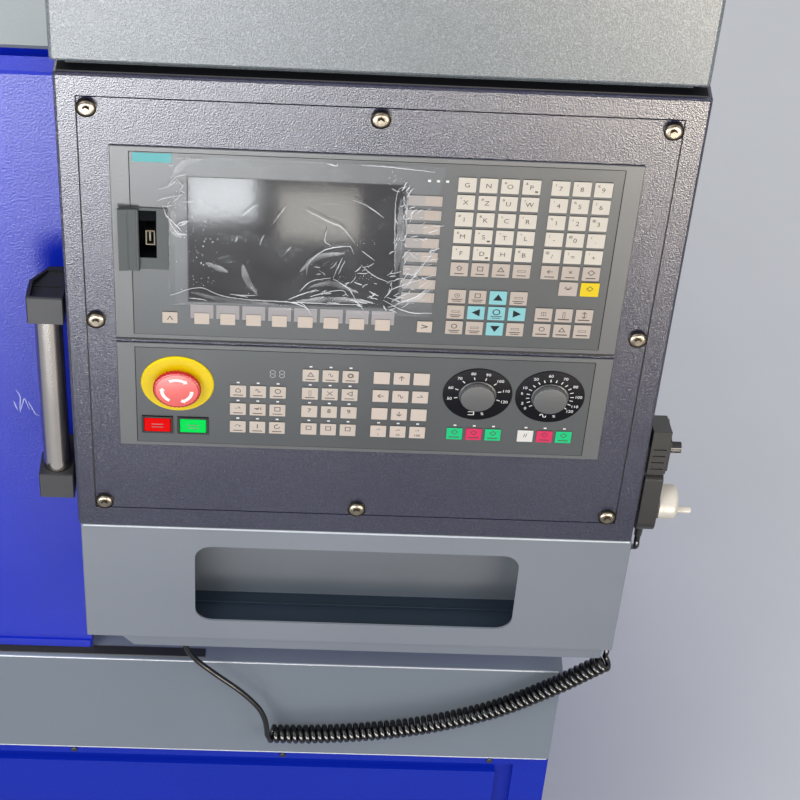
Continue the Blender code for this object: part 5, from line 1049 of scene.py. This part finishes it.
guide.materials.append(cord_black)
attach(cord, "machine")
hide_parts("cord_lead", "cord_coil", "cord_tail")


# Work area: a cast bed with ground ways, and the carriage, cross slide and tailstock that ride on
# them, painted grey outside their machined faces.
cast_grey = paint("casting_grey", (0.16, 0.17, 0.175), 0.5, 260, 0.0004, 0.08)
wear(cast_grey, "machine_bed", "carriage", "cross_slide", "tailstock")
ground_steel = turned_metal("ground_steel", (0.56, 0.56, 0.56), 0.25, (300, 12, 300), 0.00003)
wear(ground_steel, "spindle", "chuck_body", "chuck_jaw_1", "chuck_jaw_2", "chuck_jaw_3", "tool_post",
     "tailstock_quill")


# Electrical cabinet: a grey sheet steel box on the back, with a hinged door, slotted for air, and
# a turning latch. The roof sheet has pressed ribs and the same grey.
roof_grey = paint("roof_grey", (0.30, 0.33, 0.34), 0.42, 360, 0.00016, 0.06)
wear(roof_grey, "roof_cover", "electrical_cabinet", "cabinet_door")
wear(moulded_black, "cabinet_latch")


# Studio: a plain pale floor and soft lamps, low lamps that only show as a gloss on the console and
# the door, and the photograph's view down on the console.
bpy.ops.mesh.primitive_plane_add(size=30, location=(0, 0, 0))
floor = bpy.context.object
floor.name = "studio_floor"
floor.data.materials.append(paint("floor_pale", (0.60, 0.61, 0.63), 0.8, 40, 0.0002, 0.03, gleam=0.0))


def lamp(name, place, aim, size, power):
    """A square soft lamp that faces a point."""
    stand = hang(name, bpy.data.lights.new(name, 'AREA'))
    stand.data.shape = 'SQUARE'
    stand.data.size = size
    stand.data.energy = power
    stand.location = place
    stand.rotation_euler = (Vector(aim) - Vector(place)).to_track_quat('-Z', 'Y').to_euler()
    return stand


console_middle = on_console(210, 0, -250)
lamp("key_lamp", (-1.6, -3.6, 3.4), console_middle, 2.2, 72)
lamp("fill_lamp", (3.4, -2.8, 2.6), console_middle, 2.2, 38)
lamp("top_lamp", (0.6, -0.6, 4.6), console_middle, 2.6, 47)
lamp("back_lamp", (-1.0, 4.2, 3.4), (0, 0, 1), 2.6, 60)
out_of_gloss = bpy.data.collections.new("out_of_gloss")
for name in ("base_cabinet", "chip_pan", "machine_bed", "carriage", "cross_slide", "tool_post", "tailstock",
             "tailstock_quill", "spindle", "chuck_body", "chuck_jaw_1", "chuck_jaw_2", "chuck_jaw_3",
             "back_cover", "end_cover", "door_top_rail"):
    out_of_gloss.objects.link(cad[name])
for member in out_of_gloss.collection_objects:
    member.light_linking.link_state = 'EXCLUDE'


def gloss_lamp(name, x, depth, height, wide, tall, power, tint):
    """A lamp before the console, in its millimetres and at a height in metres, seen only in a gloss."""
    place = on_console(x, depth, 0)
    place.z = height
    stand = lamp(name, place, console_middle + Vector((0, 0, 0.1)), wide, power)
    stand.data.shape = 'RECTANGLE'
    stand.data.size_y = tall
    stand.data.color = tint
    stand.visible_camera = False
    stand.visible_diffuse = False
    stand.light_linking.receiver_collection = out_of_gloss


gloss_lamp("window_gloss", -500, -1700, 0.70, 1.35, 0.80, 112, (0.97, 0.98, 1.0))
gloss_lamp("warm_gloss", 1130, -1900, 0.72, 1.0, 0.85, 125, (1.0, 0.90, 0.76))
gloss_lamp("display_gloss_left", 20, -1450, 0.30, 0.11, 0.08, 0.72, (0.93, 0.97, 1.0))
gloss_lamp("display_gloss_right", 179, -1450, 0.265, 0.13, 0.08, 0.36, (1.0, 0.97, 0.88))
sky = hang("soft_sky", bpy.data.lights.new("soft_sky", 'SUN'))
sky.data.energy = 0.95
sky.data.angle = math.radians(60)
sky.rotation_euler = (math.radians(28), math.radians(-14), 0)
world = bpy.data.worlds.new("studio_air")
bpy.context.scene.world = world
world.use_nodes = True
nodes, links = world.node_tree.nodes, world.node_tree.links
air = nodes["Background"]
air.inputs["Color"].default_value = (0.75, 0.77, 0.8, 1)
air.inputs["Strength"].default_value = 0.45
pale = nodes.new("ShaderNodeBackground")
pale.inputs["Color"].default_value = (0.86, 0.87, 0.88, 1)
rays = nodes.new("ShaderNodeLightPath")
seen = rays.outputs["Is Camera Ray"]
for kind in ("Is Transmission Ray", "Is Glossy Ray"):
    either = nodes.new("ShaderNodeMath")
    either.operation = 'MAXIMUM'
    links.new(seen, either.inputs[0])
    links.new(rays.outputs[kind], either.inputs[1])
    seen = either.outputs[0]
blend = nodes.new("ShaderNodeMixShader")
links.new(seen, blend.inputs[0])
links.new(air.outputs[0], blend.inputs[1])
links.new(pale.outputs[0], blend.inputs[2])
links.new(blend.outputs[0], nodes["World Output"].inputs["Surface"])

PHOTO_SIZE = 800
FOCAL_LENGTH = 2274.765  # in the photograph's pixels
eye = hang("photo_camera", bpy.data.cameras.new("photo_camera"))
bpy.context.scene.camera = eye
pitch, yaw, roll = 0.759826, -0.062474, 0.077936
gaze = Matrix.Rotation(roll, 3, 'Z') @ Matrix.Rotation(pitch, 3, 'X') @ Matrix.Rotation(yaw, 3, 'Y')
right, down, ahead = (Vector((row[0], row[2], -row[1])) for row in gaze)
stance = Matrix((right, -down, -ahead)).transposed().to_4x4()
stance.translation = on_console(152.90, -1418.0, 1086.50)
eye.matrix_world = stance
eye.data.sensor_width = 36
eye.data.lens = FOCAL_LENGTH / PHOTO_SIZE * eye.data.sensor_width
eye.data.clip_start = 0.05
bpy.context.scene.view_settings.view_transform = 'Standard'

for spare in pad_shapes.values():
    bpy.data.objects.remove(spare, do_unlink=True)
